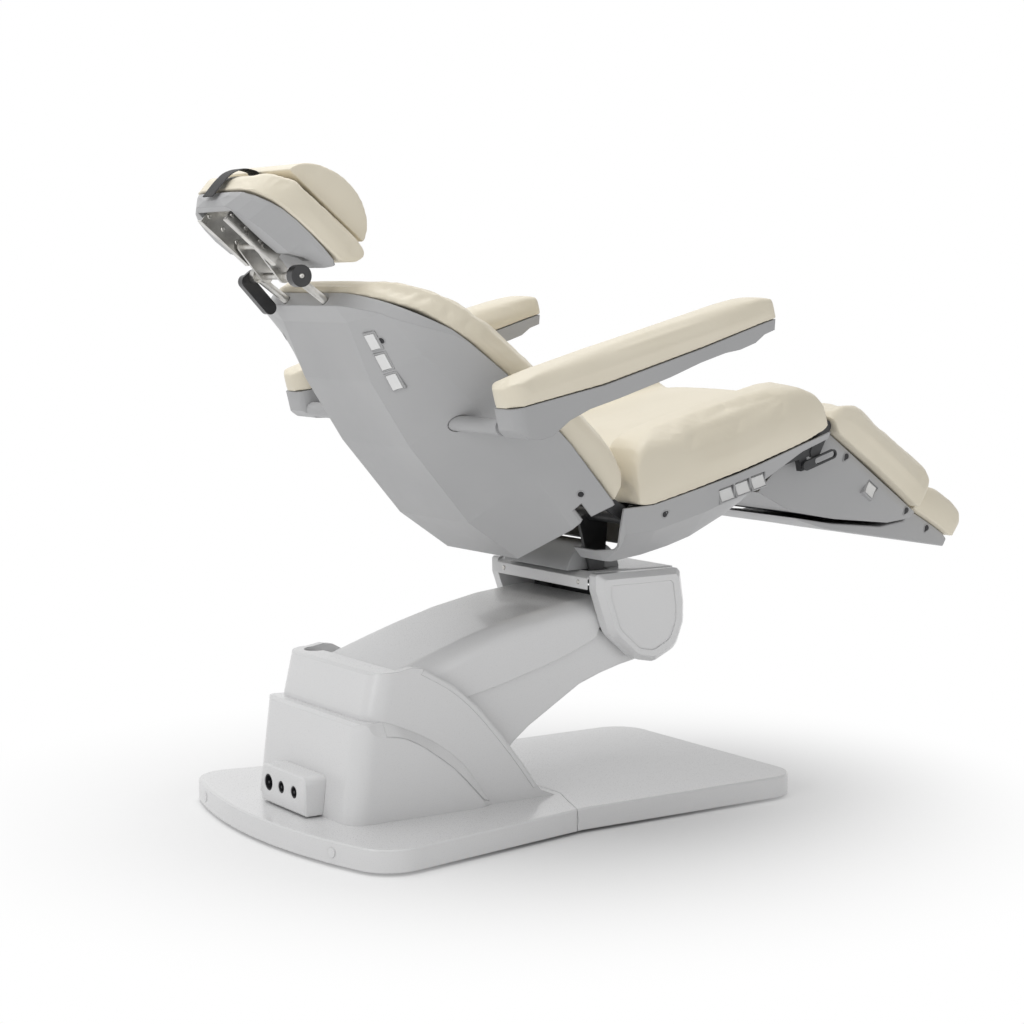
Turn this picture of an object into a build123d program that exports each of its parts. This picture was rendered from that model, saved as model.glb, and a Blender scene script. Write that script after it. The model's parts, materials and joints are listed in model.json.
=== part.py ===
from build123d import *
import os
from math import asin, atan2, cos, degrees, hypot, radians, sin, tan

# Medical spa chair on a parallel-link lift.
# Millimetres, +X towards the sitter's feet, +Y to the sitter's left, +Z up,
# origin on the floor under the middle of the base.

# Driving sizes: base
base_reach = 512
base_half_width = 284
base_rear_half_width = 365
base_rear_corner = 443
base_rear_bulge = 509
skirt_top = 45
skirt_gap = 6
cover_wall = 4
seam_gap = 1
plan_corner = 70
flange_half_width = 125
flange_reach = 32

# Driving sizes: tower behind the lift arm
tower_reach = 400
tower_height = 300
boot_half_width = 181
tower_half_width = 168
cheek_inner = 152
tower_corner = 34

# Driving sizes: socket panel and control box
socket_face = 446
socket_half_width = 82
socket_low = 48
socket_high = 116
socket_corner = 14
socket_centre = 84
power_socket_y = 56
power_socket_radius = 15
small_socket_y = 8
third_socket_y = -39
small_socket_radius = 11
socket_depth = 16
socket_lip = 2.5

# Driving sizes: parallel lift arm, two links of one length
link_length = 500
link_rise_deg = 15
lower_pin_x = -273
lower_pin_z = 256
link_offset_x = 20
link_offset_z = 67
pin_radius = 10
pin_clearance = 0.05
plate = 8
link_end_radius = 17
head_plate_radius = 26
upper_link_y = 102
lower_link_y = 84
base_plate_y = 118
carrier_plate_y = 114
cross_tube_radius = 8
arm_cover_half = 148
arm_cover_rounding = 38
lower_cover_half = 142
arm_cover_depth = 100

# Driving sizes: lift motor
motor_foot_x = -190
motor_foot_z = 70
rod_eye_along = 200
motor_radius = 24
motor_box = 44
rod_radius = 10
eye_radius = 17
eye_slack = 2.7
eye_width = 24

# Driving sizes: carrier, hub covers and tilt pivot
tilt_x = 150
tilt_z = 434
hub_size = 100
hub_centre_x = 210
hub_centre_z = 360
hub_inner = 152
hub_outer = 185
hub_bevel = 12
hub_bevel_share = 0.88
hub_panel_share = 0.74
hub_panel_depth = 2
carrier_rear = 102
carrier_front = 300
carrier_top = 443
carrier_sheet = 3
carrier_half = 151
head_plate_rear = 172
head_plate_front = 272
head_top = 420
head_sheet = 6
hump_radius = 60
hump_half = 105
tilt_lug_y = 86
ear_y = 112
ear_radius = 14

# Driving sizes: seat, in its own leaning frame about the tilt pivot
seat_lean_deg = -13.5
seat_length = 475
seat_unit = 100
seat_half = 290
seat_dish_half = 164
seat_corner = 16
seat_dish_edge = 196
seat_dish_depth = 27
seat_rim_half = 272
seat_crease_half = 262
seat_crease_drop = 49
seat_belly_half = 200
rail_outer = 250
rail_width = 14
rail_low = 112
rail_high = 136
beam_radius = 12
seat_beam_x = 10
seat_beam_front = 230
beam_drop = 4

# Driving sizes: back, in its own leaning frame about the back hinge
back_hinge_x = 48
back_hinge_z = 600
back_lean_deg = 35.6
back_length = 600
back_unit = 100
back_half = 285
back_corner = 190
back_top_share = 0.927
back_crown = 7
member_low = 150
member_high = 174
member_depth = 24
hinge_y = 242
hinge_plate = 10
hinge_radius = 12
hinge_pin_radius = 6

# Driving sizes: leg rest, in its own leaning frame about the leg hinge
leg_hinge_x = 588
leg_hinge_z = 700
leg_lean_deg = 36.5
leg_length = 300
leg_unit = 100
leg_half = 270
leg_top_half = 236
leg_belly_half = 205

# Driving sizes: foot rest that slides out of the leg rest
foot_half = 235
foot_shell_half = 213
foot_travel = 120
foot_tube = 22
foot_tube_y = 100
foot_tube_z = -28

# Driving sizes: armrests, in their own leaning frame
arm_x = -250
arm_z = 740
arm_lean_deg = -14
arm_length = 600
arm_unit = 70
arm_centre_y = 369
arm_pad_half = 43
arm_shell_half = 38
arm_pivot_along = 46
arm_pivot_drop = -22
arm_shaft_radius = 14
arm_journal_radius = 9

# Driving sizes: headrest, in its own leaning frame
head_x = -440
head_z = 960
head_lean_deg = 40
head_length = 250
head_unit = 100
head_shell_half = 140
head_half = 152
head_corner = 88
head_foot_corner = 18
head_bay_half = 64
pillow_half = 125
rail_y = 42
rail_sheet = 3
rail_depth = 14
knob_radius = 19
head_tube_y = 70
head_tube_radius = 7
head_travel = 60
head_link_y = 30

K = (-22, 10)
M = (-87, 22)

# Small shared values
overrun = 40
hairline = 0.3
screw_radius = 9


def side_face(points):
    """A face in the XZ plane from a closed side outline."""
    flat = [Vector(x, z) for x, z in points]
    return Plane.XZ * make_face(Polyline(*flat, close=True))


def side_prism(points, low, high):
    """A side outline carried across the width from low to high."""
    face = Pos(0, low, 0) * side_face(points)
    return extrude(face, amount=high - low, dir=(0, 1, 0))


def plan_face(points, radii, height):
    """A plan outline with filleted corners at a height."""
    outline = FilletPolyline(*points, radius=radii, close=True)
    return Pos(0, 0, height) * make_face(outline)


def across_rod(x, z, low, high, radius):
    """A round rod across the chair."""
    rod = Cylinder(radius, high - low)
    return Pos(x, (low + high) / 2, z) * Rot(90, 0, 0) * rod


def along_rod(start, end, radius):
    """A round rod between two points of the middle plane, given as (x, y, z)."""
    a = Vector(*start)
    b = Vector(*end)
    plane = Plane(origin=a, z_dir=b - a)
    return extrude(plane * Circle(radius), amount=(b - a).length)


def block(x_low, x_high, y_low, y_high, z_low, z_high):
    """A box from its lowest and highest corners."""
    box = Box(x_high - x_low, y_high - y_low, z_high - z_low)
    middle = ((x_low + x_high) / 2, (y_low + y_high) / 2, (z_low + z_high) / 2)
    return Pos(*middle) * box


def link_plate(start, end, radius, low, high):
    """A flat link with round ends between two (x, z) centres."""
    a = Vector(start[0], start[1])
    b = Vector(end[0], end[1])
    tilt = degrees(atan2(b.Y - a.Y, b.X - a.X))
    middle = (a + b) * 0.5
    slot = Pos(middle.X, middle.Y) * Rot(0, 0, tilt) * SlotCenterToCenter((b - a).length, 2 * radius)
    return extrude(Pos(0, low, 0) * (Plane.XZ * slot), amount=high - low, dir=(0, 1, 0))


def both_sides(shape):
    """A shape and its mirror image in the middle plane."""
    return shape + mirror(shape, Plane.XZ)


def from_shares(shares, width, height, x=0, z=0):
    """Outline points from shares of a width and a height about an origin."""
    return [(x + a * width, z + b * height) for a, b in shares]


def save(shape, name):
    export_step(shape, "parts/" + name + ".step")


# Base

link_rise_x = link_length * cos(radians(link_rise_deg))
link_rise_z = link_length * sin(radians(link_rise_deg))
A1 = (lower_pin_x, lower_pin_z)
A2 = (lower_pin_x + link_offset_x, lower_pin_z - link_offset_z)
B1 = (A1[0] + link_rise_x, A1[1] + link_rise_z)
B2 = (A2[0] + link_rise_x, A2[1] + link_rise_z)
P0 = (motor_foot_x, motor_foot_z)
eye_share = rod_eye_along / link_length
Q = (A1[0] + link_rise_x * eye_share, A1[1] + link_rise_z * eye_share)


def base_plan(inset, height):
    """Plan of the base skirt: bowed rear, tapered waist, straight front."""
    rear_x = -base_rear_corner + inset
    rear_y = base_rear_half_width - inset
    bow = ThreePointArc((rear_x, rear_y), (-base_rear_bulge + inset, 0), (rear_x, -rear_y))
    side = base_half_width - inset
    front = base_reach + 2 - inset
    r = plan_corner - inset
    rest = Polyline(bow @ 1, (0, -side), (front, -side), (front, side), (0, side), bow @ 0)
    face = make_face(bow + rest)
    corners = [v for v in face.vertices() if abs(v.X) > base_reach / 2]
    return Pos(0, 0, height) * fillet(corners, r)


def skirt_shell():
    """The low open shell that covers the whole steel base."""
    outer = extrude(base_plan(0, skirt_gap), amount=skirt_top - skirt_gap)
    inner = extrude(base_plan(cover_wall, 0), amount=skirt_top - cover_wall)
    top_edges = outer.edges().filter_by_position(Axis.Z, skirt_top - 1, skirt_top + 1)
    return chamfer(top_edges, cover_wall * 0.75) - inner


seam_shares = [(-0.03, 1.2), (-0.03, 0.8), (0.03, 0.58), (0.068, 0.45), (0.068, 0.36)]


def front_region(shift):
    """The space in front of the seam between the two base covers."""
    side = [(base_reach * a + shift, base_rear_half_width * b) for a, b in seam_shares]
    far = 2 * base_reach
    ring = side + [(x, -y) for x, y in reversed(side)] + [(far, -side[0][1]), (far, side[0][1])]
    face = make_face(Polyline(*[Vector(x, y) for x, y in ring], close=True))
    return extrude(face, amount=tower_height)


tower_side_shares = [
    (-0.945, 0.15), (-0.945, 0.773), (-0.895, 0.977), (-0.86, 1.003), (-0.76, 1.01),
    (-0.7, 1.023), (-0.65, 1.013), (-0.495, 0.897), (-0.365, 0.753), (-0.233, 0.553),
    (-0.125, 0.373), (-0.06, 0.25), (-0.022, 0.19), (0.05, 0.15), (0.05, 0.14), (-0.945, 0.14)]
boot_core_shares = [
    (-1.1, 0.14), (-1.1, 0.71), (-0.98, 0.71), (-0.912, 0.773), (-0.89, 0.743),
    (-0.752, 0.68), (-0.6, 0.58), (-0.445, 0.423), (-0.297, 0.163), (-0.297, 0.14)]
boot_edge_shares = [
    (-1.1, 0.14), (-1.1, 0.71), (-0.98, 0.71), (-0.938, 0.683), (-0.895, 0.657),
    (-0.755, 0.623), (-0.655, 0.553), (-0.5, 0.4), (-0.352, 0.187), (-0.352, 0.14)]
boot_plan_shares = [(-1.03, 0.14), (-0.976, 0.73)]
tower_plan_shares = [(-0.945, 0.14), (-0.918, 0.76), (-0.87, 1.03)]


def tower_plan(rear, half, height, corner):
    """Level section of the tower, round at its two rear corners."""
    points = [(rear, -half), (tower_reach, -half), (tower_reach, half), (rear, half)]
    return plan_face(points, [corner, 0, 0, corner], height)


def tower_loft(shares, half, corner):
    """Leaning tower walls from level sections."""
    faces = [tower_plan(a * tower_reach, half, b * tower_height, corner) for a, b in shares]
    return loft(faces, ruled=True)


def tower_solid():
    """The boot and the narrower tower on it, with its two cheeks."""
    core = from_shares(boot_core_shares, tower_reach, tower_height)
    edge = from_shares(boot_edge_shares, tower_reach, tower_height)
    half = tower_half_width
    boot = side_prism(core, -half, half)
    for sign in (-1, 1):
        near = Pos(0, sign * half, 0) * side_face(core)
        far = Pos(0, sign * boot_half_width, 0) * side_face(edge)
        boot += loft([near, far], ruled=True)
    boot &= tower_loft(boot_plan_shares, boot_half_width, tower_corner)
    side = from_shares(tower_side_shares, tower_reach, tower_height)
    upper = side_prism(side, -half, half)
    upper &= tower_loft(tower_plan_shares, half, tower_corner)
    return boot + upper


arm_gap_share = 0.765
rear_wall_share = 0.93
frame_hatch_share = 0.27
cavity_shares = [(-0.96, 0), (-0.96, 0.6), (-0.9, 0.75), (-0.87, 0.975), (-0.765, 0.985), (-0.765, 1.2)]
corner_boss = 20
corner_boss_share = 0.81
recess_radius = 24
recess_y = 128


def tower_cavity():
    """The slot between the cheeks, roofed only behind the arm."""
    side = from_shares(cavity_shares, tower_reach, tower_height)
    hatch = -frame_hatch_share * tower_reach
    side += [(tower_reach, side[-1][1]), (tower_reach, skirt_top), (hatch, skirt_top), (hatch, 0)]
    slot = side_prism(side, -cheek_inner, cheek_inner)
    corner = block(-tower_reach, -corner_boss_share * tower_reach, cheek_inner - corner_boss, cheek_inner + overrun,
                   skirt_top, 2 * tower_height)
    return slot - both_sides(corner)


def cap_place(turn):
    """Where a screw cap sits on the bowed rear of the skirt."""
    half = base_rear_half_width
    bow = base_rear_bulge - base_rear_corner
    radius = (half * half + bow * bow) / (2 * bow)
    middle = (radius - base_rear_bulge, 0, (skirt_top + skirt_gap) / 2)
    return Pos(*middle) * Rot(0, 0, turn) * Pos(-radius, 0, 0) * Rot(0, 90, 0)


cap_turn_deg = 13.3
cap_side_share = -0.035


def skirt_screw_caps():
    """Four round caps over the screws that hold the skirt."""
    cap = Cylinder(screw_radius, cover_wall)
    side = Pos(cap_side_share * base_reach, base_half_width, (skirt_top + skirt_gap) / 2)
    side_cap = side * Rot(90, 0, 0) * cap
    rear = cap_place(cap_turn_deg) * cap + cap_place(-cap_turn_deg) * cap
    return rear + side_cap + mirror(side_cap, Plane.XZ)


def base_rear_cover():
    """Rear half of the skirt with the tower on it, open below for the frame."""
    cover = skirt_shell() - front_region(0)
    recess = Cylinder(recess_radius, tower_height * 0.1)
    recess_x = -arm_gap_share * tower_reach
    tower = tower_solid() - Pos(recess_x, recess_y, tower_height) * recess
    return cover + tower - tower_cavity() - skirt_screw_caps()


def base_front_cover():
    """Front half of the skirt, flat on top."""
    return (skirt_shell() & front_region(seam_gap)) - skirt_screw_caps()


foot_spread_x = 430
foot_spread_y = 210
foot_radius = 22
foot_height = 10
floor_plate = 4
frame_rail = 30
frame_inset = 14
frame_rail_y = 122
motor_lug_y = 16


def levelling_feet():
    """Five rubber feet under the steel base: one at each corner and one in the middle."""
    foot = Cylinder(foot_radius, foot_height)
    corners = [(x, y) for x in (-foot_spread_x, foot_spread_x) for y in (-foot_spread_y, foot_spread_y)]
    return Compound([Pos(x, y, foot_height / 2) * foot for x, y in corners + [(0, 0)]])


plate_spread = 54
frame_rear_share = 0.77
frame_front_share = 0.8


def base_frame():
    """Steel floor plate with rails, pivot plates and a motor clevis."""
    floor = foot_height
    tray = extrude(base_plan(frame_inset, floor), amount=floor_plate)
    rail_top = skirt_top - cover_wall - hairline
    half = plate / 2
    low = base_plate_y - half
    rear = -tower_reach * frame_rear_share
    front = base_reach * frame_front_share
    rail = block(rear, front, low - frame_rail, low + plate, floor, rail_top)
    rail += block(rear, rear + frame_rail, 0, low, floor, rail_top)
    rail += block(front - frame_rail, front, 0, low, floor, rail_top)
    post = link_plate(A1, A2, link_end_radius, base_plate_y, base_plate_y + plate)
    leg = side_prism([(A1[0] - pin_radius, A1[1]), (A1[0] - pin_radius, floor), (A2[0] + plate_spread, floor),
                      (A2[0] + pin_radius, A2[1])], base_plate_y, base_plate_y + plate)
    leg &= block(-tower_reach, 0, 0, tower_reach, floor + floor_plate, tower_height)
    clevis = link_plate(P0, (P0[0], floor + floor_plate), eye_radius, motor_lug_y, motor_lug_y + plate)
    clevis &= block(-tower_reach, 0, 0, tower_reach, floor + floor_plate, tower_height)
    frame = tray + both_sides(rail + post + leg + clevis)
    frame += across_rod(P0[0], P0[1], -motor_lug_y, motor_lug_y, pin_radius)
    for x, z in (A1, A2):
        frame -= across_rod(x, z, -base_plate_y - overrun, base_plate_y + overrun, pin_radius)
    return frame


def base_pivot_pins():
    """Two long pins that the lift links turn on."""
    reach = base_plate_y + plate + foot_height / 2
    return Compound([across_rod(x, z, -reach, reach, pin_radius) for x, z in (A1, A2)])


control_box_rear_share = 0.95
control_box_front_share = 0.82
control_box_half = 95
control_box_high = 150


def control_box():
    """Mains supply and motor control inside the tower."""
    box = block(-control_box_rear_share * tower_reach, -control_box_front_share * tower_reach,
                -control_box_half, control_box_half, foot_height + floor_plate, control_box_high)
    return fillet(box.edges().filter_by(Axis.Z), cover_wall)


socket_list = [
    (power_socket_y, power_socket_radius),
    (small_socket_y, small_socket_radius),
    (third_socket_y, small_socket_radius),
]


def socket_panel():
    """Raised panel at the rear foot of the tower, recessed for three inlets."""
    high = socket_high
    low = socket_low
    half = socket_half_width
    points = [(-half, low), (half, low), (half, high), (-half, high)]
    outline = FilletPolyline(*points, radius=[0, 0, socket_corner, socket_corner], close=True)
    plane = Plane(origin=(-socket_face, 0, 0), x_dir=(0, -1, 0), z_dir=(-1, 0, 0))
    face = plane * make_face(outline)
    panel = extrude(face, amount=-(socket_face - tower_reach * 0.9))
    front = panel.faces().sort_by(Axis.X)[0]
    panel = chamfer(front.edges(), socket_lip)
    panel -= tower_solid() + skirt_shell()
    for y, radius in socket_list:
        hole = Pos(-socket_face, y, socket_centre) * Rot(0, 90, 0) * Cylinder(radius, 2 * socket_depth)
        panel -= hole
    return panel


def inlet_sockets():
    """Three round inlet cups with contact pins."""
    cups = []
    for y, radius in socket_list:
        length = socket_depth - socket_lip / 2
        place = Pos(-socket_face + socket_depth - length / 2, y, socket_centre) * Rot(0, 90, 0)
        cup = Cylinder(radius, length) - Pos(0, 0, -socket_lip) * Cylinder(radius - socket_lip, length)
        pin = Pos(0, 0, 0) * Cylinder(socket_lip, length)
        cups.append(place * (cup + pin))
    return Compound(cups)


# Lift arm

arm_top_shares = [
    (-0.05, 0.2), (-0.034, 0.36), (0.146, 0.66), (0.266, 0.85), (0.426, 1.07), (0.616, 1.26),
    (0.796, 1.36), (0.846, 1.37)]
arm_side_shares = [
    (-0.05, -0.1), (-0.05, 1.6), (0.846, 1.6), (0.846, 1.24), (0.808, 0.75), (0.8, 0.66),
    (0.764, 0.57), (0.63, 0.32), (0.498, 0.14), (0.368, -0.03), (0.216, -0.19), (0.046, -0.41)]
lower_side_shares = [
    (0.27, -0.94), (0.296, -0.94), (0.406, -0.41), (0.47, -0.17), (0.604, 0.22), (0.692, 0.48),
    (0.784, 0.64), (0.876, 0.76), (0.94, 0.82), (0.978, 0.87), (0.975, 0.98), (0.916, 1.06),
    (0.768, 1.51), (0.724, 1.42), (0.59, 1.17), (0.458, 0.99), (0.328, 0.82), (0.176, 0.64),
    (0.236, 0.11), (0.256, -0.59)]


def arm_roof(half, drop, corner):
    """Roof of the upper arm cover from cross-sections with round shoulders."""
    low = A1[1] - arm_cover_depth
    sections = []
    for a, b in arm_top_shares:
        x = A1[0] + a * link_length
        top = A1[1] + b * arm_cover_depth - drop
        points = [(-half, low), (half, low), (half, top), (-half, top)]
        outline = FilletPolyline(*points, radius=[0, 0, corner, corner], close=True)
        sections.append(Plane.YZ.offset(x) * make_face(outline))
    return loft(sections, ruled=True)


def upper_arm_cover():
    """Hood over the lift arm, open below."""
    side = from_shares(arm_side_shares, link_length, arm_cover_depth, A1[0], A1[1])
    wall = cover_wall
    hood = arm_roof(arm_cover_half, 0, arm_cover_rounding)
    hood -= arm_roof(arm_cover_half - wall, wall, arm_cover_rounding - wall)
    return hood & side_prism(side, -arm_cover_half, arm_cover_half)


def lower_arm_cover():
    """Trough under the lift arm, open on top, nested in the hood."""
    side = from_shares(lower_side_shares, link_length, arm_cover_depth, A2[0], A2[1])
    half = lower_cover_half
    inner = half - cover_wall
    outer = side_prism(side, -half, half)
    core = side_prism(side, -inner, inner)
    return outer - Pos(0, 0, cover_wall) * core - Pos(-2 * cover_wall, 0, cover_wall) * core


link_tube_shares = (0.4, 0.58)
lower_tube_shares = (0.55, 0.8)


def along_link(pin, share):
    """A point on a link at a share of its length."""
    return pin[0] + link_rise_x * share, pin[1] + link_rise_z * share


def arm_links(start, end, low, tube_shares, reach):
    """Two link plates joined by cross tubes that also carry the cover."""
    links = both_sides(link_plate(start, end, link_end_radius, low, low + plate))
    for share in tube_shares:
        x, z = along_link(start, share)
        links += across_rod(x, z, -reach, reach, cross_tube_radius)
    for x, z in (start, end):
        links -= across_rod(x, z, -reach, reach, pin_radius + pin_clearance)
    return links


def upper_link():
    """Upper links: the rod of the lift motor pushes on their middle tube."""
    reach = arm_cover_half - cover_wall
    links = arm_links(A1, B1, upper_link_y, link_tube_shares, reach)
    return links


def lower_link():
    """Lower links, which keep the carrier level."""
    return arm_links(A2, B2, lower_link_y, lower_tube_shares, lower_cover_half - cover_wall)


def actuator_axis(foot, eye):
    """Unit direction and length from a motor foot to its rod eye."""
    run = hypot(eye[0] - foot[0], eye[1] - foot[1])
    return (eye[0] - foot[0]) / run, (eye[1] - foot[1]) / run, run


def on_axis(foot, eye, distance):
    """A point on the line of an actuator."""
    ux, uz, run = actuator_axis(foot, eye)
    return foot[0] + ux * distance, 0, foot[1] + uz * distance


def lift_motor():
    """Motor, gear box and guide tube of the lift actuator."""
    tube = along_rod(on_axis(P0, Q, motor_radius), on_axis(P0, Q, motor_tube), motor_radius * 0.75)
    x, y, z = on_axis(P0, Q, motor_box)
    ux, uz, run = actuator_axis(P0, Q)
    lean = degrees(atan2(ux, uz))
    gear = Pos(x, 0, z) * Rot(0, lean, 0) * Box(motor_box, motor_box, motor_box)
    can = Pos(x, 0, z) * Rot(0, lean, 0) * Pos(0, motor_box, 0) * Rot(90, 0, 0) * Cylinder(motor_radius, motor_box)
    eye = across_rod(P0[0], P0[1], -eye_width / 2, eye_width / 2, eye_radius)
    neck = along_rod(on_axis(P0, Q, 0), on_axis(P0, Q, motor_box), eye_width / 2)
    hole = across_rod(P0[0], P0[1], -eye_width, eye_width, pin_radius + pin_clearance)
    bore = along_rod(on_axis(P0, Q, motor_box), on_axis(P0, Q, run), rod_radius + pin_clearance)
    return gear + can + tube + eye + neck - hole - bore


motor_tube = 165


def lift_rod():
    """Push rod with an eye round the upper cross tube."""
    ux, uz, run = actuator_axis(P0, Q)
    rod = along_rod(on_axis(P0, Q, motor_tube * 0.5), on_axis(P0, Q, run - rod_radius), rod_radius)
    eye = across_rod(Q[0], Q[1], -eye_width / 2, eye_width / 2, eye_radius)
    hole = across_rod(Q[0], Q[1], -eye_width, eye_width, cross_tube_radius + eye_slack)
    return rod + eye - hole


# Carrier

hub_shares = [
    (-1.03, 0.82), (-1.03, 0.53), (-0.74, -0.29), (-0.13, -0.82), (0.29, -0.9), (0.81, -0.66),
    (0.99, -0.2), (0.99, 0.18), (0.9, 0.75), (0.83, 0.82)]
hub_corner_shares = (0.06, 0.12, 0.5, 0.35, 0.3, 0.35, 0.3, 0.35, 0.05, 0.05)


def hub_face(share, y):
    """The D outline of a hub cover, scaled about its centre."""
    points = from_shares(hub_shares, hub_size * share, hub_size * share)
    radii = [hub_size * share * a for a in hub_corner_shares]
    face = make_face(FilletPolyline(*[Vector(x, z) for x, z in points], radius=radii, close=True))
    return Pos(hub_centre_x, y, hub_centre_z) * (Plane.XZ * face)


def hub_cover():
    """One bevelled D cover with a shallow panel in its face."""
    bevel_from = hub_outer - hub_bevel
    body = extrude(hub_face(1, hub_inner), amount=bevel_from - hub_inner, dir=(0, 1, 0))
    body += loft([hub_face(1, bevel_from), hub_face(hub_bevel_share, hub_outer)], ruled=True)
    panel = hub_face(hub_panel_share, hub_outer - hub_panel_depth)
    return body - extrude(panel, amount=hub_bevel, dir=(0, 1, 0))


def hub_covers():
    """The pair of hub covers, which snap over the pin ends."""
    near = hub_cover()
    return Compound([near, mirror(near, Plane.XZ)])


def carrier_head():
    """Steel head: side plates on the links, a top plate and the tilt lugs."""
    y = carrier_plate_y
    plate_low = link_plate(B1, B2, head_plate_radius, y, y + plate)
    web = side_prism([(head_plate_rear, head_top), (head_plate_rear, B1[1]), (B2[0] - head_plate_radius, B2[1]),
                      (B2[0] + head_plate_radius, B2[1]), (head_plate_front, B1[1]), (head_plate_front, head_top)],
                     y, y + plate)
    top = block(tilt_x - 2 * ear_radius, head_plate_front, 0, tilt_lug_y + plate, head_top - head_sheet, head_top)
    top += block(head_plate_rear, head_plate_front, 0, y + plate, head_top - head_sheet, head_top)
    lug = link_plate((tilt_x, tilt_z), (tilt_x, head_top - head_sheet / 2), ear_radius, tilt_lug_y, tilt_lug_y + plate)
    lug &= block(0, 2 * tilt_x, 0, carrier_half, head_top - head_sheet, tilt_z + 2 * ear_radius)
    head = both_sides(plate_low + web + top + lug)
    for x in (head_plate_rear + head_sheet, head_plate_front - head_sheet):
        for side in (-y, y):
            low = head_top
            post_y = side - head_sheet * (1 if side > 0 else -1)
            head += Pos(x, post_y, (low + carrier_top - carrier_sheet) / 2) * Cylinder(
                head_sheet, carrier_top - carrier_sheet - low)
    for x, z in (B1, B2, (tilt_x, tilt_z)):
        head -= across_rod(x, z, -carrier_half, carrier_half, pin_radius)
    return head


def carrier_pins():
    """Pins of the link ends and of the tilt pivot."""
    pins = [across_rod(x, z, -hub_inner, hub_inner, pin_radius) for x, z in (B1, B2)]
    reach = ear_y + plate + cover_wall
    return Compound(pins + [across_rod(tilt_x, tilt_z, -reach, reach, pin_radius)])


lip_low_share = 0.93
lip_chamfer = 20


def carrier_top_cover():
    """Flat lid over the head, with a rear lip and slots for the tilt ears."""
    half = carrier_half
    lid = block(carrier_rear, carrier_front, -half, half, carrier_top - carrier_sheet, carrier_top)
    lip_low = carrier_top * lip_low_share
    lip = side_prism([(carrier_rear, lip_low), (carrier_rear + carrier_sheet, lip_low),
                      (carrier_rear + carrier_sheet, carrier_top), (carrier_rear, carrier_top)], -half, half)
    corner = side_prism([(carrier_rear, carrier_top - lip_chamfer / 2), (carrier_rear + lip_chamfer, carrier_top),
                         (carrier_rear + lip_chamfer, carrier_top - carrier_sheet * 1.5),
                         (carrier_rear, carrier_top - lip_chamfer / 2 - carrier_sheet * 1.5)], -half, half)
    cut = side_prism([(carrier_rear - overrun, carrier_top - lip_chamfer / 2 - overrun * 0.5),
                      (carrier_rear, carrier_top - lip_chamfer / 2), (carrier_rear + lip_chamfer, carrier_top),
                      (carrier_rear + lip_chamfer, carrier_top + overrun),
                      (carrier_rear - overrun, carrier_top + overrun)], -half, half)
    reach = ear_y + plate + 2 * cover_wall
    window = block(tilt_x - 2 * ear_radius, tilt_x + 2 * ear_radius, -reach, reach,
                   carrier_top - overrun, carrier_top + overrun)
    return lid + lip + corner - cut - window


def tilt_cover():
    """Half drum over the tilt pivot, standing on the lid."""
    drum = across_rod(tilt_x, tilt_z, -hump_half, hump_half, hump_radius)
    inner = hump_half - cover_wall
    drum -= across_rod(tilt_x, tilt_z, -inner, inner, hump_radius - cover_wall)
    drum -= across_rod(tilt_x, tilt_z, -hump_half, hump_half, pin_radius + cover_wall)
    return drum & block(0, 2 * tilt_x, -hump_half, hump_half, carrier_top, carrier_top + hump_radius)


# Places of the leaning frames

seat_place = Pos(tilt_x, 0, tilt_z) * Rot(0, seat_lean_deg, 0)
back_place = Pos(back_hinge_x, 0, back_hinge_z) * Rot(0, back_lean_deg, 0)
leg_place = Pos(leg_hinge_x, 0, leg_hinge_z) * Rot(0, leg_lean_deg, 0)
head_place = Pos(head_x, 0, head_z) * Rot(0, head_lean_deg, 0)


def local_point(x, z, origin_x, origin_z, lean_deg):
    """A point of the middle plane in a leaning frame."""
    c = cos(radians(lean_deg))
    s = sin(radians(lean_deg))
    dx = x - origin_x
    dz = z - origin_z
    return dx * c - dz * s, dx * s + dz * c


def world_point(x, z, origin_x, origin_z, lean_deg):
    """A point of a leaning frame in the frame of the base."""
    c = cos(radians(lean_deg))
    s = sin(radians(lean_deg))
    return origin_x + x * c + z * s, origin_z - x * s + z * c


back_in_seat = local_point(back_hinge_x, back_hinge_z, tilt_x, tilt_z, seat_lean_deg)
leg_in_seat = local_point(leg_hinge_x, leg_hinge_z, tilt_x, tilt_z, seat_lean_deg)


def pad_section(x, half, low, shoulder, crown, corner):
    """Cross-section of a stuffed pad: flat base, drawn-in sides, round shoulders, crown."""
    draw = corner * 0.3
    middle = (low + shoulder) / 2 - corner / 4
    bend = corner * 0.29
    edge = half - corner
    lower = ThreePointArc((half - draw, low), (half, middle), (half - draw * 0.2, shoulder - corner))
    round_arc = ThreePointArc((half - draw * 0.2, shoulder - corner), (half - bend, shoulder - bend), (edge, shoulder))
    top = ThreePointArc((edge, shoulder), (0, shoulder + crown), (-edge, shoulder))
    far_round = ThreePointArc((-edge, shoulder), (bend - half, shoulder - bend), (draw * 0.2 - half, shoulder - corner))
    far_lower = ThreePointArc((draw * 0.2 - half, shoulder - corner), (-half, middle), (draw - half, low))
    base = Line((draw - half, low), (half - draw, low))
    return Plane.YZ.offset(x) * make_face(lower + round_arc + top + far_round + far_lower + base)


def shell_section(x, points):
    """Level-topped cross-section of a moulded shell from its right-hand corners."""
    ring = points + [(-y, z) for y, z in reversed(points)]
    return Plane.YZ.offset(x) * make_face(Polyline(*[Vector(y, z) for y, z in ring], close=True))


def pad_loft(stations, half, length, unit, corner_share, crown):
    """A pad lofted through stations of (along, low, top) shares."""
    faces = []
    for along, low, top in stations:
        thick = (top - low) * unit
        faces.append(pad_section(along * length, half, low * unit, top * unit, crown, thick * corner_share))
    return loft(faces, ruled=True)


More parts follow.
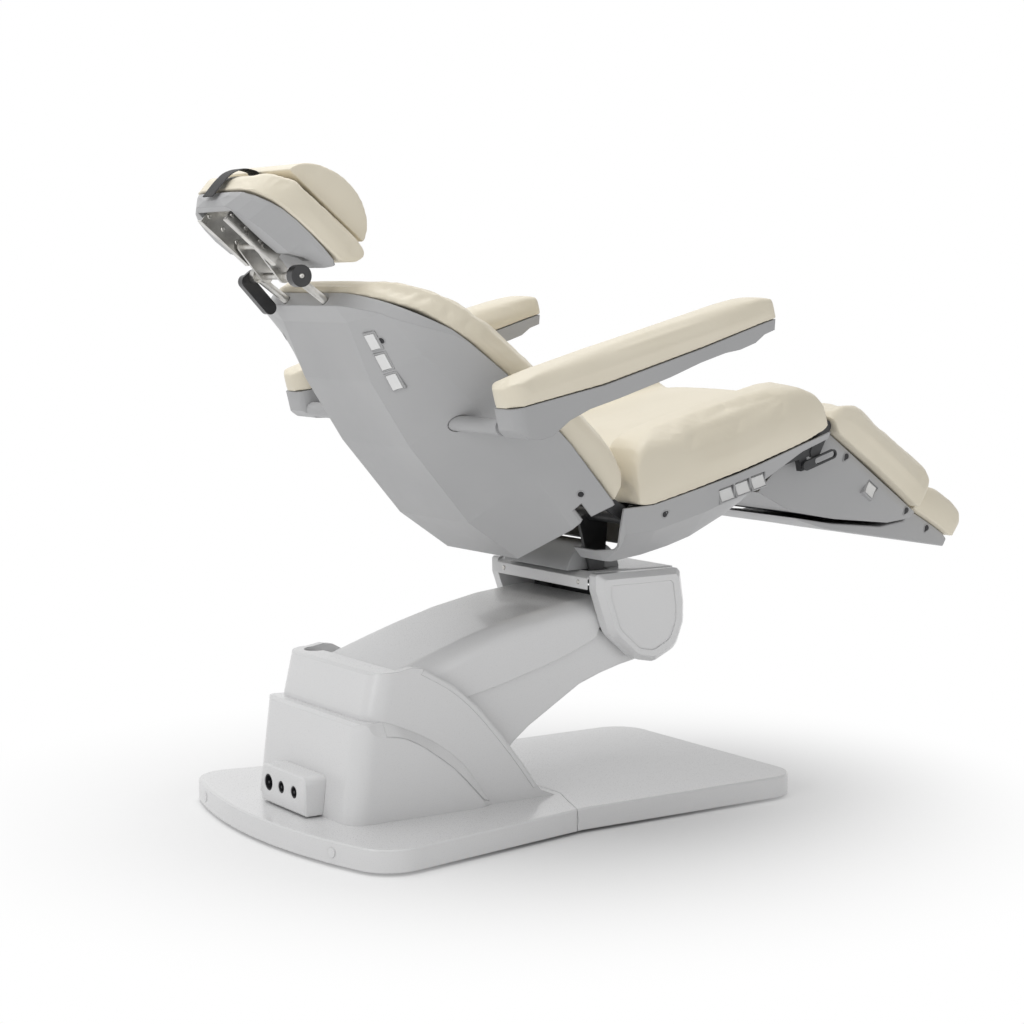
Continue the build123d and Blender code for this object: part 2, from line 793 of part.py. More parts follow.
def plan_prism(x_low, x_high, half, radii):
    """An upright prism over a plan outline, to round the corners of a pad or shell."""
    points = [(x_low, -half), (x_high, -half), (x_high, half), (x_low, half)]
    outline = FilletPolyline(*points, radius=radii, close=True)
    return extrude(Pos(0, 0, -back_length) * make_face(outline), amount=2 * back_length)


def actuator(foot, aim, tube_length, rod_length, can_side, tie_radius):
    """A small linear motor held on a cross tube, with its rod drawn in."""
    gear_at = motor_box
    x, y, z = on_axis(foot, aim, gear_at)
    ux, uz, run = actuator_axis(foot, aim)
    lean = degrees(atan2(ux, uz))
    size = motor_box * small_motor_share
    gear = Pos(x, 0, z) * Rot(0, lean, 0) * Box(size, size, size)
    turn = Rot(0, lean, 0) * Pos(0, can_side * size, 0) * Rot(90, 0, 0)
    can = Pos(x, 0, z) * turn * Cylinder(size * 0.44, size)
    neck = along_rod(on_axis(foot, aim, 0), on_axis(foot, aim, gear_at), eye_width * 0.4)
    eye = across_rod(foot[0], foot[1], -eye_width / 2, eye_width / 2, tie_radius + plate * 0.6)
    tube = along_rod(on_axis(foot, aim, gear_at), on_axis(foot, aim, tube_length), size * 0.4)
    rod = along_rod(on_axis(foot, aim, gear_at), on_axis(foot, aim, rod_length), size * 0.2)
    tie = across_rod(foot[0], foot[1], -eye_width, eye_width, tie_radius)
    return gear + can + neck + eye + tube + rod - tie


small_motor_share = 0.85

# Seat

seat_pad_shares = [
    (0.012, 1.5, 1.64), (0.02, 1.46, 1.95), (0.034, 1.42, 2.2), (0.06, 1.38, 2.42), (0.1, 1.36, 2.54),
    (0.29, 1.36, 2.6),
    (0.547, 1.39, 2.61), (0.81, 1.47, 2.61), (0.893, 1.51, 2.55), (0.958, 1.57, 2.35),
    (0.985, 1.62, 2.1), (0.998, 1.68, 1.84)]
seat_dish_shares = (0, 0.1, 0.35, 0.7, 1, 1, 1, 1, 0.8, 0.3, 0.1, 0)


def seat_section(x, low, top, dish):
    """Cross-section of the seat pad: bolsters at the sides, a dish between them."""
    thick = top - low
    corner = min(thick * 0.3, seat_unit * 0.3)
    bend = corner * 0.29
    half = seat_half
    draw = corner * 0.3
    middle = low + (thick - corner) * 0.45
    right = [
        ThreePointArc((half - draw, low), (half, middle), (half - draw * 0.2, top - corner)),
        ThreePointArc((half - draw * 0.2, top - corner), (half - bend, top - bend), (half - corner, top)),
        Line((half - corner, top), (seat_dish_edge, top + draw * 0.1)),
        ThreePointArc((seat_dish_edge, top + draw * 0.1), (seat_dish_half + draw, top - dish * 0.35),
                      (seat_dish_half, top - dish)),
    ]
    middle_arc = ThreePointArc((seat_dish_half, top - dish), (0, top - dish + draw * 0.4),
                               (-seat_dish_half, top - dish))
    left = [mirror(edge, Plane.YZ) for edge in right]
    base = Line((draw - half, low), (half - draw, low))
    outline = right[0] + right[1:] + [middle_arc] + left + [base]
    return Plane.YZ.offset(x) * make_face(outline)


def seat_cushion():
    """Stuffed seat with raised side bolsters."""
    faces = []
    for (along, low, top), dish in zip(seat_pad_shares, seat_dish_shares):
        depth = seat_dish_depth * dish + 1
        faces.append(seat_section(along * seat_length, low * seat_unit, top * seat_unit, depth))
    pad = loft(faces, ruled=True)
    pad &= plan_prism(-overrun, seat_length * 0.997, seat_half, [overrun, seat_corner, seat_corner, overrun])
    return pad


seat_shell_shares = [
    (-0.097, 0.84, 0.66), (-0.075, 1.12, 0.46), (-0.042, 1.46, 0.4), (0.1, 1.34, 0.32), (0.23, 1.335, 0.3),
    (0.343, 1.335, 0.32), (0.526, 1.345, 0.48), (0.63, 1.37, 0.62), (0.81, 1.43, 1.0), (0.867, 1.45, 1.12),
    (1.01, 1.49, 1.21)]
skirt_from_share = 0.63
skirt_inner = 254
hump_window = 130
hump_window_front = 82


def seat_shell_loft(inset):
    """Hull of the seat shell, drawn in by an inset for its hollow."""
    faces = []
    for along, rim, low in seat_shell_shares:
        rim_z = rim * seat_unit
        low_z = low * seat_unit + inset
        crease = rim_z - min(seat_crease_drop, (rim_z - low_z) * 0.5)
        points = [(seat_rim_half - inset, rim_z), (seat_crease_half - inset, crease), (seat_belly_half - inset, low_z)]
        faces.append(shell_section(along * seat_length, points))
    return loft(faces, ruled=True)


def seat_shell():
    """Moulded underside of the seat, open above and under the hump."""
    shell = seat_shell_loft(0) - seat_shell_loft(cover_wall)
    opening = block(skirt_from_share * seat_length, 2 * seat_length, -skirt_inner, skirt_inner, 0, 2 * seat_unit)
    window = block(-seat_length, hump_window_front, -hump_window, hump_window, 0, 2 * seat_unit)
    open_top = block(-seat_length, 2 * seat_length, -skirt_inner, skirt_inner, seat_unit * 0.9, 2 * seat_unit)
    return shell - opening - window - open_top - seat_rockers_cut()


rocker_count = 3
seat_rocker_x = 216
seat_rocker_pitch = 39
seat_rocker_z = 102
seat_rocker_rise_share = 0.02
rocker_width = 30
rocker_height = 22
rocker_depth = 10
bezel_wall = 3
bezel_proud = 3


def side_rocker_place(x, y, z, roll_deg):
    """Frame of a rocker switch on a side wall, looking out to the right."""
    return Pos(x, y, z) * Rot(roll_deg, 0, 0) * Rot(90, 0, 0)


seat_rocker_y = -261
seat_rocker_roll_deg = -12


def seat_rocker_places():
    """Places of the three rockers on the right of the seat shell."""
    return [side_rocker_place(seat_rocker_x + seat_rocker_pitch * i, seat_rocker_y,
                              seat_rocker_z + seat_rocker_rise_share * seat_rocker_pitch * i, seat_rocker_roll_deg)
            for i in range(rocker_count)]


def bezel_block(width, height, depth, proud):
    """The outer form of a switch bezel, with its front edges eased."""
    body = Pos(0, 0, proud - depth / 2) * Box(width, height, depth)
    return chamfer(body.faces().sort_by(Axis.Z)[-1].edges(), proud * 0.5)


def bezel_frame(places, width, height, depth, turn):
    """A row of switch frames, one round each rocker."""
    solids = []
    for place in places:
        outer = bezel_block(width + 2 * bezel_wall, height + 2 * bezel_wall, depth, bezel_proud)
        inner = Box(width, height, 2 * depth)
        solids.append(place * (outer - inner))
    return Compound(solids)


def bezel_cut(places, width, height, depth):
    """Holes in a shell for a row of switch frames."""
    cut = Box(width + 2 * bezel_wall, height + 2 * bezel_wall, 2 * depth)
    return [place * cut for place in places]


def seat_rockers_cut():
    return bezel_cut(seat_rocker_places(), rocker_width, rocker_height, rocker_depth)


def seat_switch_bezel():
    """Frames round the seat rockers."""
    return bezel_frame(seat_rocker_places(), rocker_width, rocker_height, rocker_depth, 0)


rocker_gap = 0.6
rocker_proud = 5
rocker_dip = 2


def rocker(width, height, depth):
    """A rocker key: a dished face on a block with a round belly."""
    w = width - 2 * rocker_gap
    h = height - 2 * rocker_gap
    body = Pos(0, 0, (rocker_proud - depth * 0.5) / 2) * Box(w, h, rocker_proud + depth * 0.5)
    groove = Pos(0, 0, rocker_proud + 3 * h - rocker_dip) * Rot(0, 90, 0) * Cylinder(3 * h, width)
    tips = Pos(0, 0, -depth * 0.2) * Rot(0, 90, 0) * Cylinder(hypot(h / 2, rocker_proud + depth * 0.2), width)
    return (body & tips) - groove


def seat_frame():
    """Welded seat frame: rails, beams, tilt ears and hinge lugs."""
    inner = rail_outer - rail_width
    rear = -seat_unit * 0.1
    rail = block(rear, seat_length - 2 * hinge_plate, inner, rail_outer, rail_low, rail_high)
    beam_z = rail_low + beam_drop
    frame = rail
    for x in (seat_beam_x, seat_beam_front):
        frame += across_rod(x, beam_z, 0, inner, beam_radius)
    ear = side_prism([(-ear_radius, 0), (ear_radius, 0), (seat_beam_x + 3 * ear_radius, beam_z),
                      (seat_beam_x - 2 * ear_radius, beam_z)], ear_y, ear_y + plate)
    frame += ear + across_rod(0, 0, ear_y, ear_y + plate, ear_radius)
    lug_y = (hinge_y, hinge_y + hinge_plate)
    frame += link_plate(back_in_seat, (rail_width / 2, beam_z), hinge_radius, *lug_y)
    frame += link_plate(leg_in_seat, (seat_length - 2 * beam_radius, beam_z), hinge_radius, *lug_y)
    post_x = seat_beam_front
    frame += block(post_x - plate, post_x + plate, member_low, member_high, shell_post_low, beam_z)
    frame = both_sides(frame + lever_hanger())
    frame -= seat_shell()
    frame -= across_rod(0, 0, -carrier_half, carrier_half, pin_radius + pin_clearance)
    for x, z in (back_in_seat, leg_in_seat):
        frame -= across_rod(x, z, -seat_half, seat_half, hinge_pin_radius)
    return frame


shell_post_low = 46.5


def hinge_pins():
    """Four short pins: two for the back, two for the leg rest."""
    pins = []
    for x, z in (back_in_seat, leg_in_seat):
        rod = across_rod(x, z, hinge_y - hinge_plate - 8, hinge_y + hinge_plate, hinge_pin_radius)
        pins += [rod, mirror(rod, Plane.XZ)]
    return Compound(pins)


def tilt_motor():
    """Motor that tilts the seat, held on the front beam."""
    beam_z = rail_low + beam_drop
    return actuator((seat_beam_front, beam_z), (seat_unit, rail_low * 0.4), tilt_tube, tilt_rod, 1, beam_radius)


tilt_tube = 95
tilt_rod = 112

lever_x = 420
lever_z = 98
lever_y = 253
lever_wire = 6
lever_reach = 68
lever_half = 9
lever_pin_radius = 4


def lever_hanger():
    """Tab under the rail that carries the pin of the release lever."""
    face = rail_outer - rail_width
    tab = block(lever_x - lever_half, lever_x + lever_half, face, rail_outer, lever_z - lever_half, rail_low)
    return tab + across_rod(lever_x, lever_z, face, lever_y + lever_wire, lever_pin_radius)


def release_lever():
    """Wire loop under the right front edge that frees the sliding foot rest."""
    end = (lever_x + lever_reach, lever_z + lever_pin_radius)
    loop = link_plate((lever_x, lever_z), end, lever_half, -lever_y - lever_wire, -lever_y)
    hole_from = (lever_x + 3 * lever_half, lever_z + lever_pin_radius / 2)
    hole = link_plate(hole_from, end, lever_half - lever_wire / 2, -lever_y - lever_wire, -lever_y)
    pin = across_rod(lever_x, lever_z, -lever_y - lever_wire, -lever_y, lever_pin_radius + pin_clearance)
    return loop - hole - pin


# Back

back_pad_shares = [
    (-0.925, 0.38, 0.5), (-0.915, 0.39, 0.66), (-0.893, 0.42, 0.82), (-0.86, 0.465, 0.92),
    (-0.79, 0.56, 1.02),
    (-0.623, 0.59, 1.11), (-0.438, 0.54, 1.08), (-0.248, 0.38, 1.01), (-0.1, 0.22, 0.9), (-0.04, 0.14, 0.82),
    (0, 0.08, 0.7), (0.03, 0.04, 0.52), (0.047, 0.02, 0.3)]


def back_cushion():
    """Stuffed backrest, round at its top corners."""
    pad = pad_loft(back_pad_shares, back_half, back_length, back_unit, 0.36, back_crown)
    radii = [back_corner, overrun / 2, overrun / 2, back_corner]
    pad &= plan_prism(-back_length * back_top_share, back_length * 0.06, back_half, radii)
    room = block(-4 * hinge_radius, back_unit * 0.4, hinge_y - 2 * hinge_radius,
                 hinge_y + 2 * hinge_pin_radius, -back_unit, hinge_radius + hinge_plate)
    return pad - both_sides(room)


back_shell_shares = [
    (-0.925, 0.37, 0.76, 0.2, 0.4, 0.1), (-0.903, 0.39, 0.78, 0.22, 0.405, 0.06),
    (-0.865, 0.43, 0.78, 0.24, 0.41, 0.0),
    (-0.708, 0.56, 0.8, 0.05, 0.415, -0.57), (-0.492, 0.55, 0.807, -0.05, 0.42, -1.06),
    (-0.192, 0.31, 0.807, -0.4, 0.42, -1.49), (0.033, -0.01, 0.8, -0.73, 0.42, -1.46),
    (0.062, -0.1, 0.8, -0.6, 0.4, -0.9)]


def back_shell_loft(inset):
    """Hull of the back shell from faceted cross-sections."""
    faces = []
    for along, rim, side, side_z, mid, mid_z in back_shell_shares:
        points = [(back_half - inset, rim * back_unit), (back_half * side - inset, side_z * back_unit + inset),
                  (back_half * mid - inset / 2, mid_z * back_unit + inset)]
        faces.append(shell_section(along * back_length, points))
    return loft(faces, ruled=True)


def sweep_pocket(radius):
    """Room in front of the hinge for the lugs as the joint turns."""
    reach = (hinge_y - 2, hinge_y + hinge_plate + 2)
    pocket = across_rod(0, 0, reach[0], reach[1], radius)
    pocket &= block(-hinge_radius - 4, radius, 0, back_half, -radius, radius)
    return both_sides(pocket)


back_rocker_x = -480
back_rocker_pitch = 37
back_rocker_y = -158
back_rocker_z = -9
back_rocker_rolls_deg = (22, 27, 31)
back_rocker_dive_deg = 23


def back_rocker_places():
    """Places of the three rockers on the rear right of the back shell."""
    places = []
    fall = tan(radians(back_rocker_dive_deg))
    for i, roll in enumerate(back_rocker_rolls_deg):
        x = back_rocker_x + back_rocker_pitch * i
        z = back_rocker_z - back_rocker_pitch * i * fall
        turn = Rot(0, back_rocker_dive_deg, 0) * Rot(180 - roll, 0, 0)
        places.append(Pos(x, back_rocker_y, z) * turn)
    return places


back_end_shares = [
    (-1.1, -2), (0.017, -2), (0.02, -0.5), (0.043, -0.08), (0.043, 1), (-1.1, 1)]


def back_shell():
    """Moulded rear of the back: rim, slanted sides and a raised middle panel."""
    shell = back_shell_loft(0)
    small = cover_wall / 4
    shell &= plan_prism(-back_length * back_top_share, back_length * 0.07, back_half,
                        [back_corner, small, small, back_corner])
    hollow = back_shell_loft(cover_wall)
    hollow &= plan_prism(-back_length * back_top_share + 2 * cover_wall, back_length, back_half - cover_wall,
                         [back_corner - cover_wall, 1, 1, back_corner - cover_wall])
    shell -= hollow
    shell -= sweep_pocket(seat_unit * 0.9)
    profile = from_shares(back_end_shares, back_length, back_unit)
    shell &= side_prism(profile, -back_half, back_half)
    for place in back_rocker_places():
        shell -= place * Box(rocker_width + 2 * bezel_wall, rocker_height + 2 * bezel_wall, 2 * rocker_depth)
    x, z = arm_pivot_in_back
    shell -= across_rod(x, z, -arm_centre_y, arm_centre_y, arm_shaft_radius + 1)
    for y in (-head_tube_y, head_tube_y):
        tube = Pos(-back_length, y, head_tube_z) * Rot(0, 90, 0) * Cylinder(head_tube_radius + 1, 1.4 * back_unit)
        shell -= tube
    return shell


def back_switch_bezel():
    """Frames round the back rockers."""
    return bezel_frame(back_rocker_places(), rocker_width, rocker_height, rocker_depth, 0)


arm_pivot_world = world_point(arm_pivot_along, arm_pivot_drop, arm_x, arm_z, arm_lean_deg)
arm_pivot_in_back = local_point(*arm_pivot_world, back_hinge_x, back_hinge_z, back_lean_deg)
head_pivot_in_back = local_point(
    *world_point(*K, head_x, head_z, head_lean_deg), back_hinge_x, back_hinge_z, back_lean_deg)
head_tube_z = head_pivot_in_back[1]
back_beam_x = -470
back_beam_z = 30
recline_beam_x = -345
recline_beam_z = 20
low_beam_x = -34
low_beam_z = 6


def back_frame():
    """Welded back frame: bent side members, beams, hinge ears and headrest sleeves."""
    tops = [(a * back_length, low * back_unit - hairline) for a, low, top in back_pad_shares[4:9]]
    unders = [(x, z - member_depth) for x, z in reversed(tops)]
    frame = side_prism(tops + unders, member_low, member_high)
    frame += across_rod(back_beam_x, back_beam_z, 0, member_high, cross_tube_radius + 2)
    frame += across_rod(recline_beam_x, recline_beam_z, 0, member_high, cross_tube_radius + 2)
    frame += block(recline_beam_x - plate, recline_beam_x + plate, member_low, member_high, recline_beam_z,
                   back_unit * 0.4)
    ear_low = hinge_y - hinge_plate - 4
    frame += across_rod(low_beam_x, low_beam_z, 0, ear_low + hinge_plate, cross_tube_radius)
    frame += block(-back_unit * 0.6, low_beam_x + plate, member_low, member_high, low_beam_z - plate,
                   low_beam_z + plate / 2)
    frame += link_plate((0, 0), (low_beam_x, low_beam_z), hinge_radius, ear_low, ear_low + hinge_plate)
    sleeve_end = -back_length * 0.905
    sleeve_from = back_beam_x + cross_tube_radius
    sleeve = Cylinder(head_tube_radius + cover_wall, sleeve_from - sleeve_end)
    frame += Pos((sleeve_end + sleeve_from) / 2, head_tube_y, head_tube_z) * Rot(0, 90, 0) * sleeve
    post_x = recline_beam_x + back_length * 0.25
    post = block(post_x - plate, post_x + plate, member_low + plate, member_high, -back_unit, back_unit * 0.4)
    frame += post
    frame = both_sides(frame)
    frame -= back_shell_loft(0) - back_shell_loft(cover_wall)
    frame &= back_shell_loft(cover_wall) + block(-back_length, back_unit, -hinge_y, hinge_y, -hinge_radius, back_unit)
    frame -= across_rod(0, 0, -seat_half, seat_half, hinge_pin_radius + pin_clearance)
    for y in (-head_tube_y, head_tube_y):
        frame -= Pos(back_beam_x, y, head_tube_z) * Rot(0, 90, 0) * Cylinder(
            head_tube_radius + pin_clearance, back_length)
    return frame


def recline_motor():
    """Motor that reclines the back, held on the middle beam."""
    foot = (recline_beam_x, recline_beam_z)
    return actuator(foot, (-back_unit * 0.6, -back_unit * 0.8), recline_tube, recline_rod, 1, cross_tube_radius + 2)


recline_tube = 150
recline_rod = 175


def arm_brackets():
    """Brackets with stub shafts that carry the armrests."""
    x, z = arm_pivot_in_back
    top = back_unit * 0.3
    low = member_low - plate
    drop = side_prism([(x - 2 * ear_radius, top), (x - ear_radius, z), (x + ear_radius, z), (x + 2 * ear_radius, top)],
                      low, member_low)
    inner_face = arm_centre_y - arm_shell_half
    shaft = across_rod(x, z, low, inner_face - hairline, arm_shaft_radius)
    shaft += across_rod(x, z, inner_face - plate, arm_centre_y, arm_journal_radius)
    near = drop + shaft
    return Compound([near, mirror(near, Plane.XZ)])


# Leg rest

leg_pad_shares = [
    (-0.03, 0.17, 0.32), (-0.01, 0.15, 0.47), (0.04, 0.1, 0.62), (0.08, 0.03, 0.71), (0.12, 0.03, 0.78),
    (0.19, 0.04, 0.82), (0.51, 0.08, 0.86), (0.88, 0.07, 0.87), (0.945, 0.06, 0.78), (0.975, 0.06, 0.5),
    (0.985, 0.07, 0.25)]
leg_side_shares = [
    (-0.083, -0.95), (-0.1, -1.75), (0.203, -1.6), (0.51, -1.15), (0.88, -0.5), (1.017, -0.11), (1.02, 0.04),
    (0.067, 0), (0.047, -0.14)]
leg_crown = 5


def leg_cushion():
    """Stuffed leg rest."""
    pad = pad_loft(leg_pad_shares, leg_half, leg_length, leg_unit, 0.34, leg_crown)
    rear = overrun * 0.75
    front = seat_corner
    pad &= plan_prism(-leg_length * 0.037, leg_length * 0.982, leg_half, [rear, front, front, rear])
    return pad


def leg_hull(inset):
    """Wedge of the leg shell, narrower at its belly."""
    side = from_shares(leg_side_shares, leg_length, leg_unit)
    low = leg_unit * 1.8
    wedge = side_prism(side, -leg_top_half, leg_top_half)
    walls = [(leg_top_half - inset, leg_unit * 0.1), (leg_top_half - inset, -leg_unit * 0.1),
             (leg_belly_half - inset, -low)]
    tapered = loft([shell_section(-leg_length, walls), shell_section(2 * leg_length, walls)], ruled=True)
    return wedge & tapered


def leg_shell():
    """Moulded wedge under the leg rest, open above and at its rear."""
    hull = leg_hull(0)
    core = leg_hull(cover_wall)
    return hull - Pos(-cover_wall, 0, cover_wall) * core - Pos(0, 0, 2 * cover_wall) * core - bezel_cut(
        [leg_rocker_place()], leg_key_size, leg_key_size, rocker_depth) + leg_switch_frame() - foot_guides_cut()


leg_key_size = 24
leg_key_x = 182
leg_key_z = -27
leg_key_roll_deg = -10


def leg_rocker_place():
    """Place of the square key on the right of the leg shell."""
    taper = (leg_top_half - leg_belly_half) / (leg_unit * 1.7)
    y = -leg_top_half - (leg_key_z + leg_unit * 0.1) * taper
    return side_rocker_place(leg_key_x, y, leg_key_z, leg_key_roll_deg)


def leg_switch_frame():
    return bezel_frame([leg_rocker_place()], leg_key_size, leg_key_size, rocker_depth, 0)


def foot_guides_cut():
    """Openings in the front wall for the tubes of the foot rest."""
    tube = foot_tube + 2
    cuts = []
    for y in (-foot_tube_y, foot_tube_y):
        cuts.append(block(leg_length * 0.5, leg_length * 1.2, y - tube / 2, y + tube / 2,
                          foot_tube_z + foot_tube / 2 - tube / 2, foot_tube_z + foot_tube / 2 + tube / 2))
    return cuts


leg_beam_x = 170
leg_channel_wall = 2
leg_channel_from_share = 0.2
leg_channel_to_share = 0.86
slide_gap = 0.3
leg_pad_low = 3


def leg_frame():
    """Leg frame: two channels for the sliding foot rest, beams and hinge ears."""
    bore = foot_tube + 2 * slide_gap
    outer = bore + 2 * leg_channel_wall
    middle = foot_tube_z + foot_tube / 2
    x_low = leg_channel_from_share * leg_length
    x_high = leg_channel_to_share * leg_length
    frame = block(x_low, x_high, foot_tube_y - outer / 2, foot_tube_y + outer / 2,
                  middle - outer / 2, middle + outer / 2)
    rear_beam = x_low + beam_radius
    frame += across_rod(rear_beam, middle, 0, foot_tube_y, cross_tube_radius)
    frame += across_rod(leg_beam_x, middle, 0, foot_tube_y, cross_tube_radius + 2)
    top = leg_pad_low - hairline
    for x in (rear_beam + plate, x_high - 2 * plate):
        frame += block(x, x + plate, foot_tube_y - plate, foot_tube_y + plate, middle, top)
    frame += link_plate((0, 0), (rear_beam, middle), hinge_radius, foot_tube_y, foot_tube_y + plate)
    frame += across_rod(0, 0, 0, hinge_y - cover_wall, hinge_radius)
    frame = both_sides(frame)
    for y in (-foot_tube_y, foot_tube_y):
        frame -= block(-leg_length, 2 * leg_length, y - bore / 2, y + bore / 2, middle - bore / 2, middle + bore / 2)
    frame -= leg_cushion()
    return frame - across_rod(0, 0, -seat_half, seat_half, hinge_pin_radius + pin_clearance)


def leg_motor():
    """Motor that raises the leg rest, held on its middle beam."""
    foot = (leg_beam_x, foot_tube_z + foot_tube / 2)
    return actuator(foot, (0, -leg_unit * 1.2), leg_motor_tube, leg_motor_rod, 1, cross_tube_radius + 2)


leg_motor_tube = 95
leg_motor_rod = 120

# Foot rest

foot_pad_shares = [
    (1.01, 0.1, 0.3), (1.02, 0.1, 0.6), (1.06, 0.12, 0.75), (1.14, 0.16, 0.84), (1.3, 0.22, 0.88),
    (1.4, 0.24, 0.84), (1.445, 0.26, 0.6), (1.455, 0.27, 0.35)]
foot_side_shares = [
    (0.24, -1.66), (0.317, -1.6), (0.49, -1.42), (0.727, -1.07), (1.13, -0.45), (1.45, 0.03), (1.445, 0.2),
    (1.39, 0.235), (1.3, 0.215), (1.14, 0.155), (1.06, 0.115), (1.045, 0.02), (1.04, -0.16), (0.887, -0.59),
    (0.52, -1.24), (0.3, -1.57)]


def foot_cushion():
    """Stuffed foot rest beyond the leg rest."""
    pad = pad_loft(foot_pad_shares, foot_half, leg_length, leg_unit, 0.34, leg_crown)
    front = seat_corner * 0.8
    return pad & plan_prism(0, leg_length * 1.452, foot_half, [front, front, front, front])


def foot_shell():
    """Tray that carries the foot rest and runs back under the leg shell."""
    side = from_shares(foot_side_shares, leg_length, leg_unit)
    return side_prism(side, -foot_shell_half, foot_shell_half) - foot_frame()


foot_frame_end_share = 1.17


def foot_frame():
    """Two sliding tubes of the foot rest, joined by a bar inside the tray."""
    low = foot_tube_z
    rear = (leg_channel_from_share + 0.08) * leg_length
    end = leg_length * foot_frame_end_share
    frame = block(rear, end, foot_tube_y - foot_tube / 2, foot_tube_y + foot_tube / 2, low, low + foot_tube)
    frame += block(end - foot_tube, end, 0, foot_tube_y, low, low + foot_tube)
    return both_sides(frame)


# Armrests

arm_pad_shares = [
    (0.038, 0.26, 0.5), (0.045, 0.25, 0.72), (0.065, 0.235, 0.84), (0.11, 0.22, 0.86), (0.357, 0.12, 0.93),
    (0.72, 0.21, 0.96), (0.955, 0.32, 0.98), (1.003, 0.33, 0.88), (1.02, 0.35, 0.6)]
arm_side_shares_low = [
    (0.05, 0.23), (0.047, -0.01), (0.047, -0.3), (0.08, -0.57), (0.117, -0.66), (0.152, -0.66), (0.22, -0.43),
    (0.293, -0.33), (0.4, -0.31), (0.585, -0.23), (0.7, -0.13), (0.795, -0.1), (0.852, -0.14), (0.912, -0.1),
    (0.95, 0.03), (0.99, 0.06), (1.0, 0.32), (0.955, 0.31), (0.72, 0.2), (0.357, 0.11), (0.11, 0.21)]


def arm_place(side):
    """Frame of one armrest, on the left for side 1 and the right for side -1."""
    return Pos(arm_x, side * arm_centre_y, arm_z) * Rot(0, arm_lean_deg, 0)


def arm_pad():
    """Stuffed armrest pad."""
    pad = pad_loft(arm_pad_shares, arm_pad_half, arm_length, arm_unit, 0.3, 1.5)
    rear = arm_pad_half * 0.9
    front = arm_pad_half * 0.45
    return pad & plan_prism(arm_length * 0.041, arm_length * 1.017, arm_pad_half, [rear, front, front, rear])


def arm_shell(side):
    """Moulded armrest body with the hole for its shaft."""
    outline = from_shares(arm_side_shares_low, arm_length, arm_unit)
    half = arm_shell_half
    body = side_prism(outline, -half, half)
    rear = half * 0.6
    body &= plan_prism(arm_length * 0.046, arm_length * 1.2, half, [rear, rear, rear, rear])
    hole = across_rod(arm_pivot_along, arm_pivot_drop, -half, hairline, arm_journal_radius + pin_clearance)
    return body - (hole if side > 0 else mirror(hole, Plane.XZ))


# Headrest

head_shell_shares = [
    (-0.78, 0.46, 0.3, 0.4), (-0.756, 0.5, 0.2, 0.6), (-0.7, 0.53, 0.19, 0.77), (-0.62, 0.56, 0.18, 0.9),
    (-0.54, 0.59, 0.18, 0.96), (-0.42, 0.6, 0.18, 1), (-0.28, 0.6, 0.2, 1), (-0.15, 0.58, 0.37, 1),
    (-0.04, 0.55, 0.45, 0.99), (0, 0.52, 0.46, 0.95)]
head_pad_shares = [
    (-0.79, 0.5, 0.6), (-0.78, 0.51, 0.78), (-0.74, 0.56, 0.98), (-0.6, 0.6, 1.12), (-0.3, 0.61, 1.15),
    (0.0, 0.6, 1.14), (0.08, 0.74, 1.08), (0.12, 0.86, 1.0)]
pillow_shares = [(-0.66, 1.203), (-0.6, 1.5), (-0.45, 1.74), (-0.25, 1.84), (-0.06, 1.72), (0.06, 1.46), (0.1, 1.203)]
rail_shares = (-0.69, -0.22)
rail_low_share = 0.05


def headrest_shell():
    """Moulded headrest back with a bay for the rails."""
    faces = []
    for along, rim, back, width in head_shell_shares:
        half = head_shell_half * width
        drop = min(rim - back, 0.16) / 2
        points = [(half, rim * head_unit), (half - head_unit * 0.05, (rim - drop) * head_unit),
                  (half - head_unit * 0.3, back * head_unit)]
        faces.append(shell_section(along * head_length, points))
    shell = loft(faces, ruled=True)
    bay = block(-head_length * 0.71, head_length, -head_bay_half, head_bay_half, -head_unit, head_unit * 0.42)
    hollow = block(-head_length * 0.6, -head_length * 0.1, head_bay_half + cover_wall, head_shell_half * 0.66,
                   head_unit * 0.24, head_unit)
    return shell - bay - both_sides(hollow)


def headrest_cushion():
    """Stuffed headrest."""
    pad = pad_loft(head_pad_shares, head_half, head_length, head_unit, 0.34, leg_crown)
    radii = [head_corner, head_foot_corner, head_foot_corner, head_corner]
    return pad & plan_prism(-head_length * 0.785, head_length * 0.2, head_half, radii)


def neck_pillow():
    """Half-round pillow strapped over the headrest."""
    points = from_shares(pillow_shares, head_length, head_unit)
    face = make_face(Spline(*[Vector(x, z) for x, z in points]) + Line(points[-1], points[0]))
    body = extrude(Pos(0, -pillow_half, 0) * (Plane.XZ * face), amount=2 * pillow_half, dir=(0, 1, 0))
    return body


def headrest_rails():
    """Two steel channels under the headrest with a bridge."""
    x_low = rail_shares[0] * head_length
    x_high = rail_shares[1] * head_length
    low = rail_low_share * head_unit
    high = head_unit * 0.42
    web = block(x_low, x_high, rail_y, rail_y + rail_sheet, low, high)
    flange = block(x_low, x_high, rail_y, rail_y + rail_depth, high - rail_sheet, high)
    lip = block(x_low, x_high, rail_y, rail_y + rail_depth, low, low + rail_sheet)
    rails = both_sides(web + flange + lip)
    rails += block(x_low, x_low + 2 * rail_depth, -rail_y, rail_y, high - rail_sheet, high)
    return rails - across_rod(M[0], M[1], -head_bay_half, head_bay_half, hinge_pin_radius + pin_clearance)


